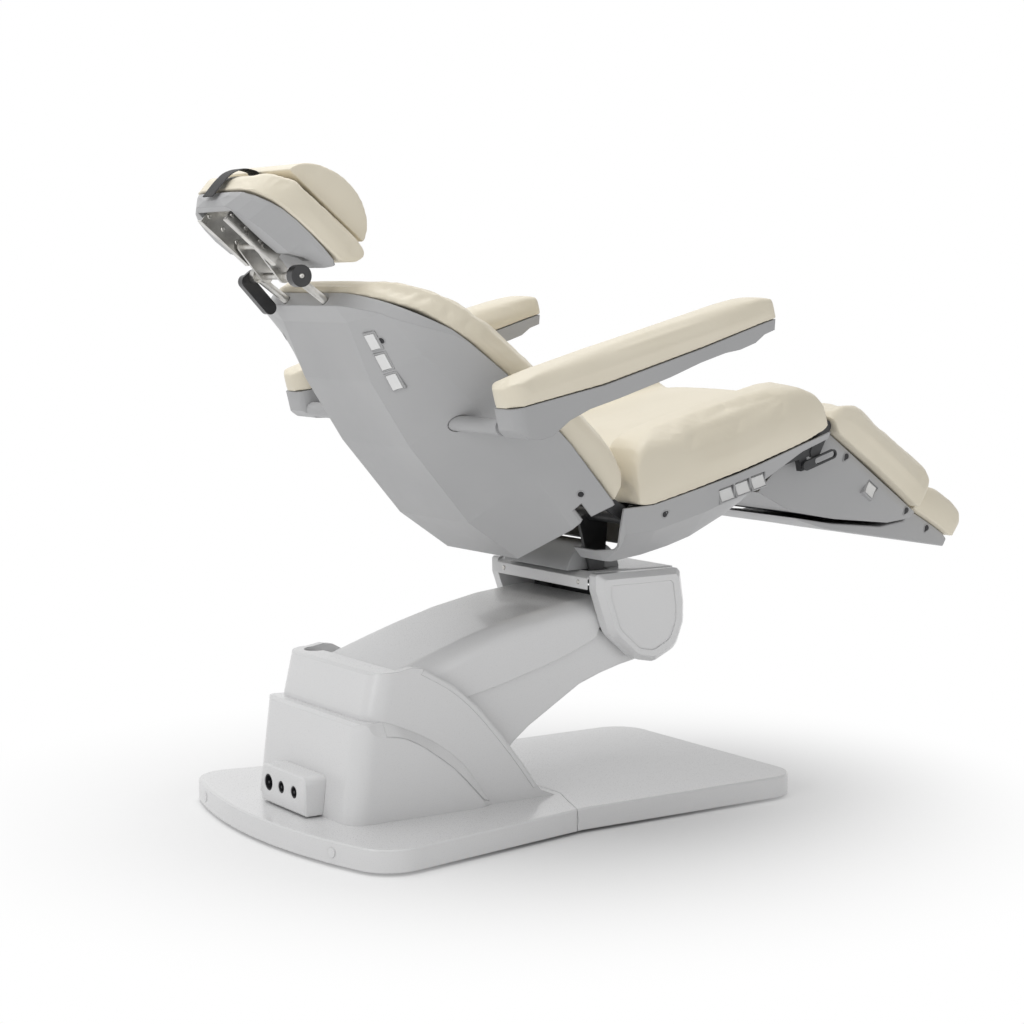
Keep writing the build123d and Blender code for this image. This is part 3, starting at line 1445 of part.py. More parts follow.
def headrest_links():
    """Two steel links between the lower and upper head pivots."""
    links = both_sides(link_plate(K, M, hinge_radius, head_link_y, head_link_y + rail_sheet * 2))
    links -= across_rod(K[0], K[1], -head_bay_half, head_bay_half, hinge_pin_radius + pin_clearance)
    links -= across_rod(M[0], M[1], -head_bay_half, head_bay_half, hinge_pin_radius)
    reach = rail_y + rail_sheet + 4
    return links + across_rod(M[0], M[1], -reach, reach, hinge_pin_radius)


def headrest_slide():
    """Two tubes that slide in the back, with the lower head pivot."""
    x, z = head_pivot_in_back
    tube_end = -back_length * 0.8
    tube = Pos((x + tube_end) / 2, head_tube_y, z) * Rot(0, 90, 0) * Cylinder(head_tube_radius, tube_end - x)
    lug = across_rod(x, z, head_tube_y - head_tube_radius * 1.5, head_tube_y + head_tube_radius, hinge_radius)
    pin = across_rod(x, z, 0, head_tube_y, hinge_pin_radius)
    return both_sides(tube + lug + pin)


def clamp_hub():
    """Round black knob at the right end of the lower head pivot."""
    x, z = K
    knob = across_rod(x, z, -head_tube_y - 1.4 * knob_radius, -head_tube_y - head_tube_radius - pin_clearance, knob_radius)
    return knob


def clamp_lever():
    """Black lever at the left end of the lower head pivot."""
    x, z = K
    low = head_tube_y + head_tube_radius + pin_clearance
    elbow = (x - 0.3 * hinge_radius, z - 1.3 * hinge_radius)
    tip = (elbow[0] + clamp_lever_run, elbow[1] - 0.6 * hinge_radius)
    lever = link_plate((x, z), elbow, hinge_radius, low, low + plate)
    return lever + link_plate(elbow, tip, hinge_radius, low, low + 2 * plate)


clamp_lever_run = 62


strap_shares = [
    (-0.665, 1.2), (-0.745, 1.075), (-0.8, 0.9), (-0.818, 0.7), (-0.822, 0.3), (-0.806, 0.3), (-0.803, 0.68),
    (-0.787, 0.87), (-0.74, 1.045), (-0.665, 1.17)]


def head_strap():
    """Elastic strap that holds the pillow."""
    points = from_shares(strap_shares, head_length, head_unit)
    return side_prism(points, -strap_half, strap_half)


strap_half = 20


base_makers = [
    base_frame, levelling_feet, base_rear_cover, base_front_cover, skirt_screw_caps, socket_panel,
    inlet_sockets, control_box, base_pivot_pins, lift_motor, lift_rod, upper_link, upper_arm_cover,
    lower_link, lower_arm_cover, carrier_head, carrier_pins, carrier_top_cover, hub_covers, tilt_cover]
seat_makers = [
    seat_frame, seat_shell, seat_cushion, seat_switch_bezel, tilt_motor, hinge_pins, release_lever]
back_makers = [
    back_frame, back_shell, back_cushion, back_switch_bezel, recline_motor, arm_brackets, headrest_slide]
leg_makers = [leg_frame, leg_shell, leg_cushion, leg_motor, foot_frame, foot_shell, foot_cushion]
head_makers = [
    headrest_links, headrest_rails, headrest_shell, headrest_cushion, neck_pillow, head_strap,
    clamp_lever, clamp_hub]

os.makedirs("parts", exist_ok=True)
for make in base_makers:
    save(make(), make.__name__)
for place, makers in ((seat_place, seat_makers), (back_place, back_makers), (leg_place, leg_makers),
                      (head_place, head_makers)):
    for make in makers:
        save(place * make(), make.__name__)
key = rocker(rocker_width, rocker_height, rocker_depth)
for number, place in enumerate(seat_rocker_places(), 1):
    save(seat_place * place * key, "seat_rocker_" + str(number))
for number, place in enumerate(back_rocker_places(), 1):
    save(back_place * place * key, "back_rocker_" + str(number))
leg_key = rocker(leg_key_size, leg_key_size, rocker_depth)
save(leg_place * leg_rocker_place() * leg_key, "leg_rocker")
for side, name in ((1, "left"), (-1, "right")):
    save(arm_place(side) * arm_shell(side), "arm_" + name + "_shell")
    save(arm_place(side) * arm_pad(), "arm_" + name + "_pad")
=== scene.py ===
# %% [markdown]
# The medical spa chair, dressed
# The chair's solids come in as a fixed frame that is already the right size.
# This file gives each solid its finish and lays the soft cushions over the plain ones.
# We load the frame first, because everything else is measured from it.

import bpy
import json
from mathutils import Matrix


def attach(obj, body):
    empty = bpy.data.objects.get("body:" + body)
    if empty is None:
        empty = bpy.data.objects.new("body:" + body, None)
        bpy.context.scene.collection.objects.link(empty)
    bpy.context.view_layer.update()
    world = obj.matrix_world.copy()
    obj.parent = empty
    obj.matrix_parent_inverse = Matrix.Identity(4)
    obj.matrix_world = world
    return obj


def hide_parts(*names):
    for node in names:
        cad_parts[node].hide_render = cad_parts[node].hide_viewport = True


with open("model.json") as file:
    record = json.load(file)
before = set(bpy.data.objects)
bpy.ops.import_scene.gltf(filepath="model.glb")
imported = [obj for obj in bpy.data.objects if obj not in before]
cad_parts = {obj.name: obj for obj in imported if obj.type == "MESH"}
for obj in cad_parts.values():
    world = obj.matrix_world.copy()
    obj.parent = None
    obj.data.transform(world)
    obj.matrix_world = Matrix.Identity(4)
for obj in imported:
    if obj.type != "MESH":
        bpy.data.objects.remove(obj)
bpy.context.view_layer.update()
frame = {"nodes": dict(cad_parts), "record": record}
nodes = frame["nodes"]

# %% [markdown]
# Every cell asks two things of a solid: which body it rides on, and which finish it has.
# Two small tables give the answers, so no cell has to look them up in the frame again.
# The arm shells are satin grey in the photograph, so they take the finish of the other shells.

# %% Tools used in every cell
import json
import math
import bmesh
import bpy
import numpy as np
from mathutils import Vector
from mathutils.bvhtree import BVHTree

MM = 0.001
scene = bpy.context.scene
body_of_node = {}
for body, members in frame["record"]["behaviour"]["bodies"].items():
    for member in members:
        body_of_node[member] = body
slot_of_node = {row["node"]: row["material_slot"] for row in frame["record"]["subparts"]}
slot_of_node.update(arm_left_shell="shell_satin", arm_right_shell="shell_satin")

# %% [markdown]
# The camera stands low behind the chair's right shoulder, as a product photographer would.
# It has a long lens, so the chair keeps its proportions.
# A long lens far away was chosen over a short one close by, which would swell the base.

# %% Camera
camera_azimuth = math.radians(33.5815)
camera_dip = math.radians(5.864)
camera_place = Vector((-2.20665, -3.38192, 0.96285))
camera_lens = 76.97
looking = Vector((
    math.sin(camera_azimuth) * math.cos(camera_dip),
    math.cos(camera_azimuth) * math.cos(camera_dip),
    -math.sin(camera_dip)))
camera_data = bpy.data.cameras.new("studio_camera")
camera_data.lens = camera_lens
camera_data.sensor_width = 36
camera_data.clip_end = 60
camera = bpy.data.objects.new("studio_camera", camera_data)
camera.location = camera_place
camera.rotation_mode = "QUATERNION"
camera.rotation_quaternion = looking.to_track_quat("-Z", "Y")
scene.collection.objects.link(camera)
scene.camera = camera
print("camera looks along", tuple(round(c, 3) for c in looking))

# %% [markdown]
# A material is a small network of nodes.
# The helpers below add a node, join two nodes, and turn a texture into a bump.
# Every finish then reads as a short list of what the surface really has: grain, speckle, gloss.


# %% Material helpers
class Finish:
    """A material with its main shader at hand; patterns follow Object coordinates in metres."""

    def __init__(self, name, roughness, metallic=0.0, coat=0.0, sheen=0.0):
        self.material = bpy.data.materials.new(name)
        self.material.use_nodes = True
        self.tree = self.material.node_tree
        self.shader = self.tree.nodes["Principled BSDF"]
        self.shader.inputs["Roughness"].default_value = roughness
        self.shader.inputs["Metallic"].default_value = metallic
        self.shader.inputs["Coat Weight"].default_value = coat
        self.shader.inputs["Sheen Weight"].default_value = sheen
        self.place = self.tree.nodes.new("ShaderNodeTexCoord").outputs["Object"]
        self.normal = None

    def node(self, kind, **values):
        made = self.tree.nodes.new(kind)
        for key, value in values.items():
            made.inputs[key.replace("_", " ")].default_value = value
        return made

    def join(self, start, end):
        self.tree.links.new(start, end)

    def noise(self, scale, detail=2.0, stretch=None):
        made = self.node("ShaderNodeTexNoise", Scale=scale, Detail=detail)
        source = self.place
        if stretch:
            mapping = self.tree.nodes.new("ShaderNodeMapping")
            mapping.inputs["Scale"].default_value = stretch
            self.join(source, mapping.inputs["Vector"])
            source = mapping.outputs["Vector"]
        self.join(source, made.inputs["Vector"])
        return made.outputs["Fac"]

    def cells(self, scale):
        made = self.node("ShaderNodeTexVoronoi", Scale=scale)
        self.join(self.place, made.inputs["Vector"])
        return made.outputs["Distance"]

    def ramp(self, value, low, high, start=0.35, end=0.65):
        """Colour = low where value < start, high where value > end, smooth between."""
        made = self.tree.nodes.new("ShaderNodeMapRange")
        made.inputs["From Min"].default_value = start
        made.inputs["From Max"].default_value = end
        self.join(value, made.inputs["Value"])
        mix = self.tree.nodes.new("ShaderNodeMix")
        mix.data_type = "RGBA"
        self.join(made.outputs["Result"], mix.inputs["Factor"])
        mix.inputs["A"].default_value = (*low, 1)
        mix.inputs["B"].default_value = (*high, 1)
        return mix.outputs["Result"]

    def colour(self, value, low, high, start=0.35, end=0.65):
        self.join(self.ramp(value, low, high, start, end), self.shader.inputs["Base Color"])

    def gloss(self, value, low, high):
        made = self.tree.nodes.new("ShaderNodeMapRange")
        made.inputs["To Min"].default_value = low
        made.inputs["To Max"].default_value = high
        self.join(value, made.inputs["Value"])
        self.join(made.outputs["Result"], self.shader.inputs["Roughness"])

    def bump(self, value, height, strength=1.0):
        """Tilts the surface by the slope of value times height in metres."""
        made = self.node("ShaderNodeBump", Strength=strength, Distance=height)
        self.join(value, made.inputs["Height"])
        if self.normal is not None:
            self.join(self.normal, made.inputs["Normal"])
        self.normal = made.outputs["Normal"]
        self.join(self.normal, self.shader.inputs["Normal"])

    def round_edges(self, radius):
        """Reads the surface direction averaged over a small ball, so sharp edges catch light."""
        made = self.node("ShaderNodeBevel", Radius=radius)
        self.normal = made.outputs["Normal"]
        self.join(self.normal, self.shader.inputs["Normal"])


# %% [markdown]
# The upholstery is cream vinyl: a thin plastic skin over foam.
# Close up it has a fine pebble grain, and its colour drifts a little where light has aged it.
# A cell pattern gives the pebbles, and slow noises let the colour, gloss and flatness drift.

# %% Upholstery vinyl
vinyl = Finish("cream_vinyl", roughness=0.5, sheen=0.08)
vinyl.colour(vinyl.noise(5.0, 3.0), (0.735, 0.675, 0.545), (0.775, 0.715, 0.585))
vinyl.gloss(vinyl.noise(22.0, 3.0), 0.42, 0.56)
vinyl.bump(vinyl.noise(14.0, 2.0), 0.0009, 0.3)
vinyl.bump(vinyl.cells(1100.0), 0.00016, 0.55)

# %% [markdown]
# The base, the lift arm and their covers are glossy moulded plastic, almost white.
# Such covers have soft edges, and a gloss that is not quite even.
# The Bevel node rounds the look of an edge without touching the solid's mesh.
# The speckle is about a millimetre wide, because a slow pattern would look like a stain.

# %% Glossy cover plastic
cover = Finish("glossy_cover_plastic", roughness=0.28, coat=0.25)
cover.round_edges(0.0025)
cover.colour(cover.noise(900.0, 1.0), (0.738, 0.738, 0.741), (0.75, 0.75, 0.752), 0.2, 0.8)
cover.gloss(cover.noise(700.0, 1.0), 0.26, 0.3)

# %% [markdown]
# The shells under the cushions are satin grey plastic with a spark-eroded grain from the mould.
# A fine noise, with about 1500 grains to the metre, makes that grain.
# A slow noise lets the colour drift a little over the width of a shell.

# %% Satin shell plastic
shell = Finish("satin_shell_plastic", roughness=0.45)
shell.round_edges(0.003)
shell.colour(shell.noise(4.0, 2.0), (0.40, 0.402, 0.407), (0.43, 0.431, 0.435))
shell.gloss(shell.noise(40.0, 3.0), 0.38, 0.5)
shell.bump(shell.noise(1500.0, 2.0), 0.00008, 0.5)

# %% [markdown]
# The tilt motor's cover and the control box are matt grey plastic.
# The sockets are almost black, and the keys are white and smoother.
# These parts are small or seen from close by, so their grain is fine and their drift is slight.

# %% Grey panel, sockets and keys
panel = Finish("grey_panel_plastic", roughness=0.5)
panel.round_edges(0.002)
panel.colour(panel.noise(9.0, 2.0), (0.34, 0.345, 0.35), (0.38, 0.385, 0.39))
panel.bump(panel.noise(1400.0, 2.0), 0.00008, 0.5)
# This near-black finish is also laid further down as painted shade inside the shells' screw wells.
socket_and_painted_shade = Finish("dark_socket_and_painted_shade", roughness=0.55)
socket_and_painted_shade.colour(socket_and_painted_shade.noise(60.0, 2.0), (0.012, 0.012, 0.014), (0.025, 0.025, 0.028))
socket_and_painted_shade.bump(socket_and_painted_shade.noise(900.0, 2.0), 0.00008, 0.4)
key = Finish("white_key_plastic", roughness=0.32, coat=0.15)
key.round_edges(0.0012)
key.colour(key.noise(25.0, 2.0), (0.74, 0.74, 0.735), (0.78, 0.78, 0.775))
key.bump(key.noise(700.0, 2.0), 0.00005, 0.4)

# %% [markdown]
# Inside, the chair is welded steel under dark paint.
# The headrest mechanism is bare zinc-plated steel, with fine rolling lines and a cloudy gloss.
# Stretched noise makes the lines, because rolled sheet is smooth along its length.

# %% Steel finishes
steel = Finish("painted_steel", roughness=0.45)
steel.round_edges(0.001)
steel.colour(steel.noise(30.0, 4.0), (0.022, 0.023, 0.025), (0.04, 0.041, 0.043))
steel.bump(steel.noise(500.0, 2.0), 0.0001, 0.4)
zinc = Finish("zinc_plated_steel", roughness=0.3, metallic=1.0)
zinc.round_edges(0.0008)
zinc.colour(zinc.noise(45.0, 4.0), (0.47, 0.46, 0.44), (0.66, 0.65, 0.62))
zinc.gloss(zinc.noise(90.0, 3.0), 0.2, 0.42)
zinc.bump(zinc.noise(60.0, 2.0, (1.0, 30.0, 1.0)), 0.00008, 0.4)

# %% [markdown]
# The clamp is hard black plastic, the motors have a duller case, and the strap is woven.
# The webbing has a raised cell pattern of about a millimetre in place of single threads.
# The feet are plain rubber, which has no gloss.

# %% Black plastic, webbing and rubber
black = Finish("black_hard_plastic", roughness=0.3, coat=0.2)
black.round_edges(0.002)
black.colour(black.noise(40.0, 2.0), (0.008, 0.008, 0.009), (0.018, 0.018, 0.02))
black.bump(black.noise(900.0, 2.0), 0.00006, 0.5)
motor = Finish("motor_housing", roughness=0.5)
motor.round_edges(0.0015)
motor.colour(motor.noise(35.0, 3.0), (0.016, 0.016, 0.018), (0.03, 0.03, 0.033))
motor.bump(motor.noise(1200.0, 2.0), 0.00008, 0.6)
webbing = Finish("black_webbing", roughness=0.75, sheen=0.02)
webbing.colour(webbing.noise(200.0, 2.0), (0.008, 0.008, 0.009), (0.022, 0.022, 0.023))
webbing.bump(webbing.cells(900.0), 0.0003, 0.8)
rubber = Finish("black_rubber", roughness=0.8)
rubber.colour(rubber.noise(80.0, 2.0), (0.01, 0.01, 0.01), (0.02, 0.02, 0.02))
rubber.bump(rubber.noise(600.0, 2.0), 0.0001, 0.6)

finish_of_slot = {
    "vinyl": vinyl, "cover_gloss": cover, "shell_satin": shell, "panel_grey": panel,
    "socket_dark": socket_and_painted_shade, "key_white": key, "steel": steel, "zinc_steel": zinc,
    "motor_case": motor, "black_plastic": black, "strap_black": webbing, "rubber": rubber}

# %% [markdown]
# Each solid now gets the finish of its slot, also those that a finer piece will stand for later.
# One material is shared by all solids of a slot, as all those parts come from one kind of stock.

# %% Give every solid its finish
for name, solid in nodes.items():
    finish = finish_of_slot[slot_of_node[name]]
    solid.data.materials.clear()
    solid.data.materials.append(finish.material)
print("finishes given:", len(finish_of_slot))

# %% [markdown]
# A moulded cover has soft edges, while a solid's mesh is made of loose flat triangles.
# So each simple cover is copied, its triangles are joined, and flat ones are merged.
# Then a Bevel modifier rounds the edges and the faces are shaded smooth where they meet gently.


# %% Joined copies of solids
merge_distance = 0.00002
flat_angle = 0.4
crisp_angle = 38.0


def joined_copy(node, name, keep_angle=flat_angle):
    """A new object with the node's shape.

    Doubles are merged, and faces that meet flatter than keep_angle in degrees are joined.
    """
    mesh = nodes[node].data.copy()
    mesh.name = name
    body = bmesh.new()
    body.from_mesh(mesh)
    bmesh.ops.remove_doubles(body, verts=body.verts, dist=merge_distance)
    if keep_angle:
        bmesh.ops.dissolve_limit(
            body, angle_limit=math.radians(keep_angle), verts=body.verts, edges=body.edges)
    body.to_mesh(mesh)
    body.free()
    piece = bpy.data.objects.new(name, mesh)
    scene.collection.objects.link(piece)
    return piece


def finish_piece(piece, node, *more):
    """The piece rides with the node's body, stands for the node, and has its finish."""
    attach(piece, body_of_node[node])
    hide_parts(node, *more)
    piece.data.materials.clear()
    piece.data.materials.append(finish_of_slot[slot_of_node[node]].material)
    return piece


def shade_soft(piece, angle=crisp_angle):
    """Faces are smooth, and edges sharper than angle stay crisp."""
    bpy.ops.object.select_all(action="DESELECT")
    piece.select_set(True)
    bpy.context.view_layer.objects.active = piece
    bpy.ops.object.shade_smooth_by_angle(angle=math.radians(angle))


def moulded(node, radius, angle=crisp_angle):
    """A cover with rounded edges of that radius in metres."""
    piece = joined_copy(node, node + "_moulded")
    bevel = piece.modifiers.new("round_edges", "BEVEL")
    bevel.width = radius
    bevel.segments = 3
    bevel.limit_method = "ANGLE"
    bevel.angle_limit = math.radians(angle)
    bevel.harden_normals = False
    bevel.use_clamp_overlap = True
    shade_soft(piece, angle)
    return finish_piece(piece, node)


cover_radii = {
    "base_front_cover": 0.003,
    "upper_arm_cover": 0.003,
    "lower_arm_cover": 0.003,
    "carrier_top_cover": 0.003,
    "hub_covers": 0.002,
    "tilt_cover": 0.003,
    "socket_panel": 0.0012,
    "foot_shell": 0.0025,
    "arm_left_shell": 0.003,
    "arm_right_shell": 0.003}
for node, radius in cover_radii.items():
    moulded(node, radius)
print("moulded covers:", len(cover_radii))

# %% [markdown]
# The cushions are foam under stretched vinyl, so they swell a little between their edges.
# Each starts from its solid, drawn in a few millimetres, and is blown up as cloth with air in it.
# A cap on how far each point may move keeps the cushion clear of its neighbours.

# %% Cushions blown up as cloth
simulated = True
cloth_steps = 20
underside = -0.6
underside_share = 0.15


def unit(vector):
    """A vector array scaled to length one."""
    return vector / np.maximum(np.linalg.norm(vector, axis=1, keepdims=True), 1e-12)


def mesh_arrays(mesh):
    """Places and directions of a mesh's points as arrays of three columns."""
    places = np.empty(len(mesh.vertices) * 3)
    mesh.vertices.foreach_get("co", places)
    normals = np.empty(len(mesh.vertices) * 3)
    mesh.vertex_normals.foreach_get("vector", normals)
    return places.reshape(-1, 3), normals.reshape(-1, 3)


def set_places(mesh, places):
    """Puts an array of places into the mesh."""
    mesh.vertices.foreach_set("co", np.ascontiguousarray(places, dtype=np.float32).ravel())
    mesh.update()


def apply_modifiers(piece):
    """Makes what the modifiers show the piece's own mesh."""
    bpy.context.view_layer.update()
    graph = bpy.context.evaluated_depsgraph_get()
    made = bpy.data.meshes.new_from_object(piece.evaluated_get(graph), depsgraph=graph)
    old = piece.data
    piece.modifiers.clear()
    piece.data = made
    bpy.data.meshes.remove(old)


def remeshed(piece, voxel):
    """Even square faces of the size of one voxel."""
    modifier = piece.modifiers.new("even", "REMESH")
    modifier.mode = "VOXEL"
    modifier.voxel_size = voxel
    modifier.use_smooth_shade = True
    apply_modifiers(piece)


def smoothed(piece, factor, repeat):
    """Each point moves towards the middle of its neighbours, repeat times."""
    modifier = piece.modifiers.new("ease", "SMOOTH")
    modifier.factor = factor
    modifier.iterations = repeat
    apply_modifiers(piece)


def swell(piece, pressure, cap, hold):
    """Cloth with air inside, for cloth_steps steps.

    Points where hold is 1 stay, and no point moves further than cap in metres.
    """
    rest, normals = mesh_arrays(piece.data)
    group = piece.vertex_groups.new(name="held")
    held = hold(rest, normals)
    for index in np.nonzero(held > 0.01)[0].tolist():
        group.add([index], float(held[index]), "REPLACE")
    cloth = piece.modifiers.new("stuffing", "CLOTH")
    settings = cloth.settings
    settings.quality = 4
    settings.mass = 0.3
    settings.tension_stiffness = 25
    settings.compression_stiffness = 25
    settings.shear_stiffness = 12
    settings.bending_stiffness = 2
    settings.use_pressure = True
    settings.uniform_pressure_force = pressure
    settings.vertex_group_mass = "held"
    settings.effector_weights.gravity = 0
    cloth.collision_settings.use_collision = False
    cloth.point_cache.frame_start = 1
    cloth.point_cache.frame_end = cloth_steps
    for step in range(1, cloth_steps + 1):
        scene.frame_set(step)
    graph = bpy.context.evaluated_depsgraph_get()
    made = bpy.data.meshes.new_from_object(piece.evaluated_get(graph), depsgraph=graph)
    blown, _ = mesh_arrays(made)
    bpy.data.meshes.remove(made)
    piece.modifiers.clear()
    scene.frame_set(1)
    shift = blown - rest
    length = np.linalg.norm(shift, axis=1, keepdims=True)
    shift *= np.minimum(1.0, cap / np.maximum(length, 1e-9))
    set_places(piece.data, rest + shift)
    print(piece.name, "moved up to", round(float(length.max()) * 1000, 1), "mm")


def leaning(origin, degrees_down):
    """Turns places into a cushion's leaning frame: along it, across it, and out of its face."""
    lean = math.radians(degrees_down)
    cosine, sine = math.cos(lean), math.sin(lean)
    start = np.array(origin) * MM

    def local(places):
        dx = places[:, 0] - start[0]
        dz = places[:, 2] - start[1]
        return dx * cosine - dz * sine, places[:, 1], dx * sine + dz * cosine

    local.out = np.array([sine, 0.0, cosine])
    return local


head_origin = (-440, 960)
head_lean = 40
seat_frame = leaning((150, 434), -13.5)
back_frame = leaning((48, 600), 35.6)
leg_frame = leaning((588, 700), 36.5)
arm_frame = leaning((-250, 740), -14)
head_frame = leaning(head_origin, head_lean)


def held_below(local, level, soft=0.006):
    """Holds the base of a cushion, where it sits on its shell: 1 below level, fading to 0 above."""
    def hold(places, normals):
        _, _, height = local(places)
        facing = normals @ local.out
        low = np.clip((level - height) / soft + 0.5, 0, 1)
        return np.maximum(low, np.where(facing < underside, 1.0, 0.0))
    return hold


def cushion(node, local, level, voxel, draw_in, pressure, cap, ease=4, form=None):
    """The stuffed piece that stands for a plain cushion solid."""
    piece = joined_copy(node, node + "_stuffed", keep_angle=0)
    remeshed(piece, voxel)
    smoothed(piece, 0.5, ease)
    places, normals = mesh_arrays(piece.data)
    facing = normals @ local.out
    free = np.where(facing < underside, underside_share, 1.0)
    set_places(piece.data, places - normals * (draw_in * free)[:, None])
    if simulated:
        swell(piece, pressure, cap, held_below(local, level))
    smoothed(piece, 0.5, 2)
    if form:
        places, normals = mesh_arrays(piece.data)
        set_places(piece.data, places + normals * form(places, normals)[:, None])
    for face in piece.data.polygons:
        face.use_smooth = True
    detail = piece.modifiers.new("fine", "SUBSURF")
    detail.levels = detail.render_levels = 1
    finish_piece(piece, node)
    return piece


def bell(distance, width):
    """1 on a line and falling to 0 within about two widths: exp(-(d / w)^2)."""
    return np.exp(-(distance / width) ** 2)


outer_welt = 0.187
inner_welt = 0.178
welt_width = 0.0022
welt_depth = 0.0009


def seat_form(places, normals):
    """Fine welts along the edge of the dish: two shallow grooves 9 mm apart."""
    along, across, height = seat_frame(places)
    side = np.abs(across)
    groove = bell(side - outer_welt, welt_width) + 0.6 * bell(side - inner_welt, welt_width)
    top = np.clip((height - 0.17) / 0.03, 0, 1)
    run = np.clip((0.40 - along) / 0.05, 0, 1) * np.clip((along - 0.02) / 0.04, 0, 1)
    return -welt_depth * groove * top * run


air = 4
coarse, middling, fine = 0.0055, 0.005, 0.004
cushion(
    "seat_cushion", seat_frame, level=0.15, voxel=coarse, draw_in=0.003,
    pressure=air, cap=0.007, form=seat_form)
cushion(
    "back_cushion", back_frame, level=0.055, voxel=coarse, draw_in=0.003,
    pressure=air, cap=0.007)
cushion(
    "leg_cushion", leg_frame, level=0.03, voxel=middling, draw_in=0.003,
    pressure=air, cap=0.006)
cushion(
    "foot_cushion", leg_frame, level=0.04, voxel=middling, draw_in=0.003,
    pressure=air, cap=0.006)
cushion(
    "headrest_cushion", head_frame, level=0.065, voxel=fine, draw_in=0.0025,
    pressure=air, cap=0.005)
cushion(
    "neck_pillow", head_frame, level=0.125, voxel=fine, draw_in=0.0025,
    pressure=air, cap=0.006)
for side in ("left", "right"):
    cushion(
        "arm_" + side + "_pad", arm_frame, level=0.026, voxel=fine, draw_in=0.002,
        pressure=air, cap=0.004, ease=3)
print("cushions made, simulated:", simulated)

# %% [markdown]
# The strap is flat elastic webbing, 40 mm wide, from under the pillow over the head end.
# A cloth remesh would erase anything so thin, so a flat section is carried along a smooth path.


# %% Pillow strap
def smooth_path(points, count):
    """A smooth curve through the points.

    Each stretch is a cubic whose slope at a point follows the point's two neighbours.
    """
    held = np.array(points, float)
    held = np.vstack([2 * held[0] - held[1], held, 2 * held[-1] - held[-2]])
    run = np.linspace(0, len(points) - 1.0001, count)
    first = run.astype(int)
    u = (run - first)[:, None]
    a, b, c, d = (held[first + i] for i in range(4))
    square, cube = 2 * a - 5 * b + 4 * c - d, 3 * b - a - 3 * c + d
    return 0.5 * (2 * b + (c - a) * u + square * u ** 2 + cube * u ** 3)


def grid_faces(rows, columns):
    """Square faces of a grid whose columns close into a ring, with both ends capped."""
    row, column = np.meshgrid(np.arange(rows - 1), np.arange(columns), indexing="ij")
    onward = (column + 1) % columns
    here, there = row * columns, (row + 1) * columns
    quads = np.stack([here + column, here + onward, there + onward, there + column], axis=-1)
    faces = quads.reshape(-1, 4).tolist()
    faces.append(list(range(columns))[::-1])
    faces.append([(rows - 1) * columns + i for i in range(columns)])
    return faces


def new_piece(name, places, faces, finish, body, angle=40.0):
    """An object from rows of places in metres, with outward faces, its finish and its body."""
    mesh = bpy.data.meshes.new(name)
    mesh.from_pydata(places.tolist(), [], faces)
    body_mesh = bmesh.new()
    body_mesh.from_mesh(mesh)
    bmesh.ops.remove_doubles(body_mesh, verts=body_mesh.verts, dist=0.000001)
    bmesh.ops.recalc_face_normals(body_mesh, faces=body_mesh.faces)
    body_mesh.to_mesh(mesh)
    body_mesh.free()
    piece = bpy.data.objects.new(name, mesh)
    scene.collection.objects.link(piece)
    piece.data.materials.append(finish.material)
    shade_soft(piece, angle)
    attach(piece, body)
    return piece


def leaning_to_row(origin, degrees_down, along, across, height):
    """The reverse of leaning: from the leaning frame in millimetres to the chair's in metres."""
    lean = math.radians(degrees_down)
    x = origin[0] + along * math.cos(lean) + height * math.sin(lean)
    z = origin[1] - along * math.sin(lean) + height * math.cos(lean)
    return np.stack([x, np.broadcast_to(across, np.shape(x)), z], axis=-1) * MM


strap_route = [
    (-160, 117), (-169, 117), (-187, 106), (-198.6, 88.5), (-202.6, 69), (-203.4, 48), (-203.5, 31)]
strap_rows, strap_ring = 60, 32
half_width, half_thickness = 20, 1.2


def strap_piece():
    """Carries a flat oval square to the path, with its long axis across the chair.

    The oval's width follows the cosine to the power 0.3, so its middle is flat,
    and its thickness follows the sine to the power 0.7, so its edges are round.
    """
    path = smooth_path(strap_route, strap_rows)
    slope = unit(np.gradient(path, axis=0))
    turn = np.linspace(0, 2 * math.pi, strap_ring, endpoint=False)
    wide = half_width * np.sign(np.cos(turn)) * np.abs(np.cos(turn)) ** 0.3
    thick = half_thickness * np.sign(np.sin(turn)) * np.abs(np.sin(turn)) ** 0.7
    along = path[:, :1] - slope[:, 1:] * thick
    height = path[:, 1:] + slope[:, :1] * thick
    across = np.broadcast_to(wide, along.shape)
    places = leaning_to_row(head_origin, head_lean, along, across, height).reshape(-1, 3)
    piece = new_piece(
        "pillow_strap_band", places, grid_faces(strap_rows, strap_ring), webbing,
        body_of_node["head_strap"])
    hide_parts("head_strap")
    return piece


strap = strap_piece()
print("strap faces:", len(strap.data.polygons))

# %% [markdown]
# Screws hold the headrest channels, the clamp's knob and the cover over the lift head.
# Each is a profile turned about its own axis, so one function makes them all.
# Its place and direction are found by dropping a point onto the solid that it sits on.


# %% Turned fasteners
surface_of = {}
ring_count = 28


def dropped(node, start, direction):
    """The point and outward direction where a ray from start meets the node's solid."""
    if node not in surface_of:
        mesh = nodes[node].data
        surface_of[node] = BVHTree.FromPolygons(
            [v.co for v in mesh.vertices], [tuple(f.vertices) for f in mesh.polygons])
    aim = Vector(direction).normalized()
    point, normal, _, _ = surface_of[node].ray_cast(Vector(start), aim)
    if point is None:
        raise ValueError(node + " is not met from " + str(tuple(start)))
    return point, -normal if normal.dot(aim) > 0 else normal


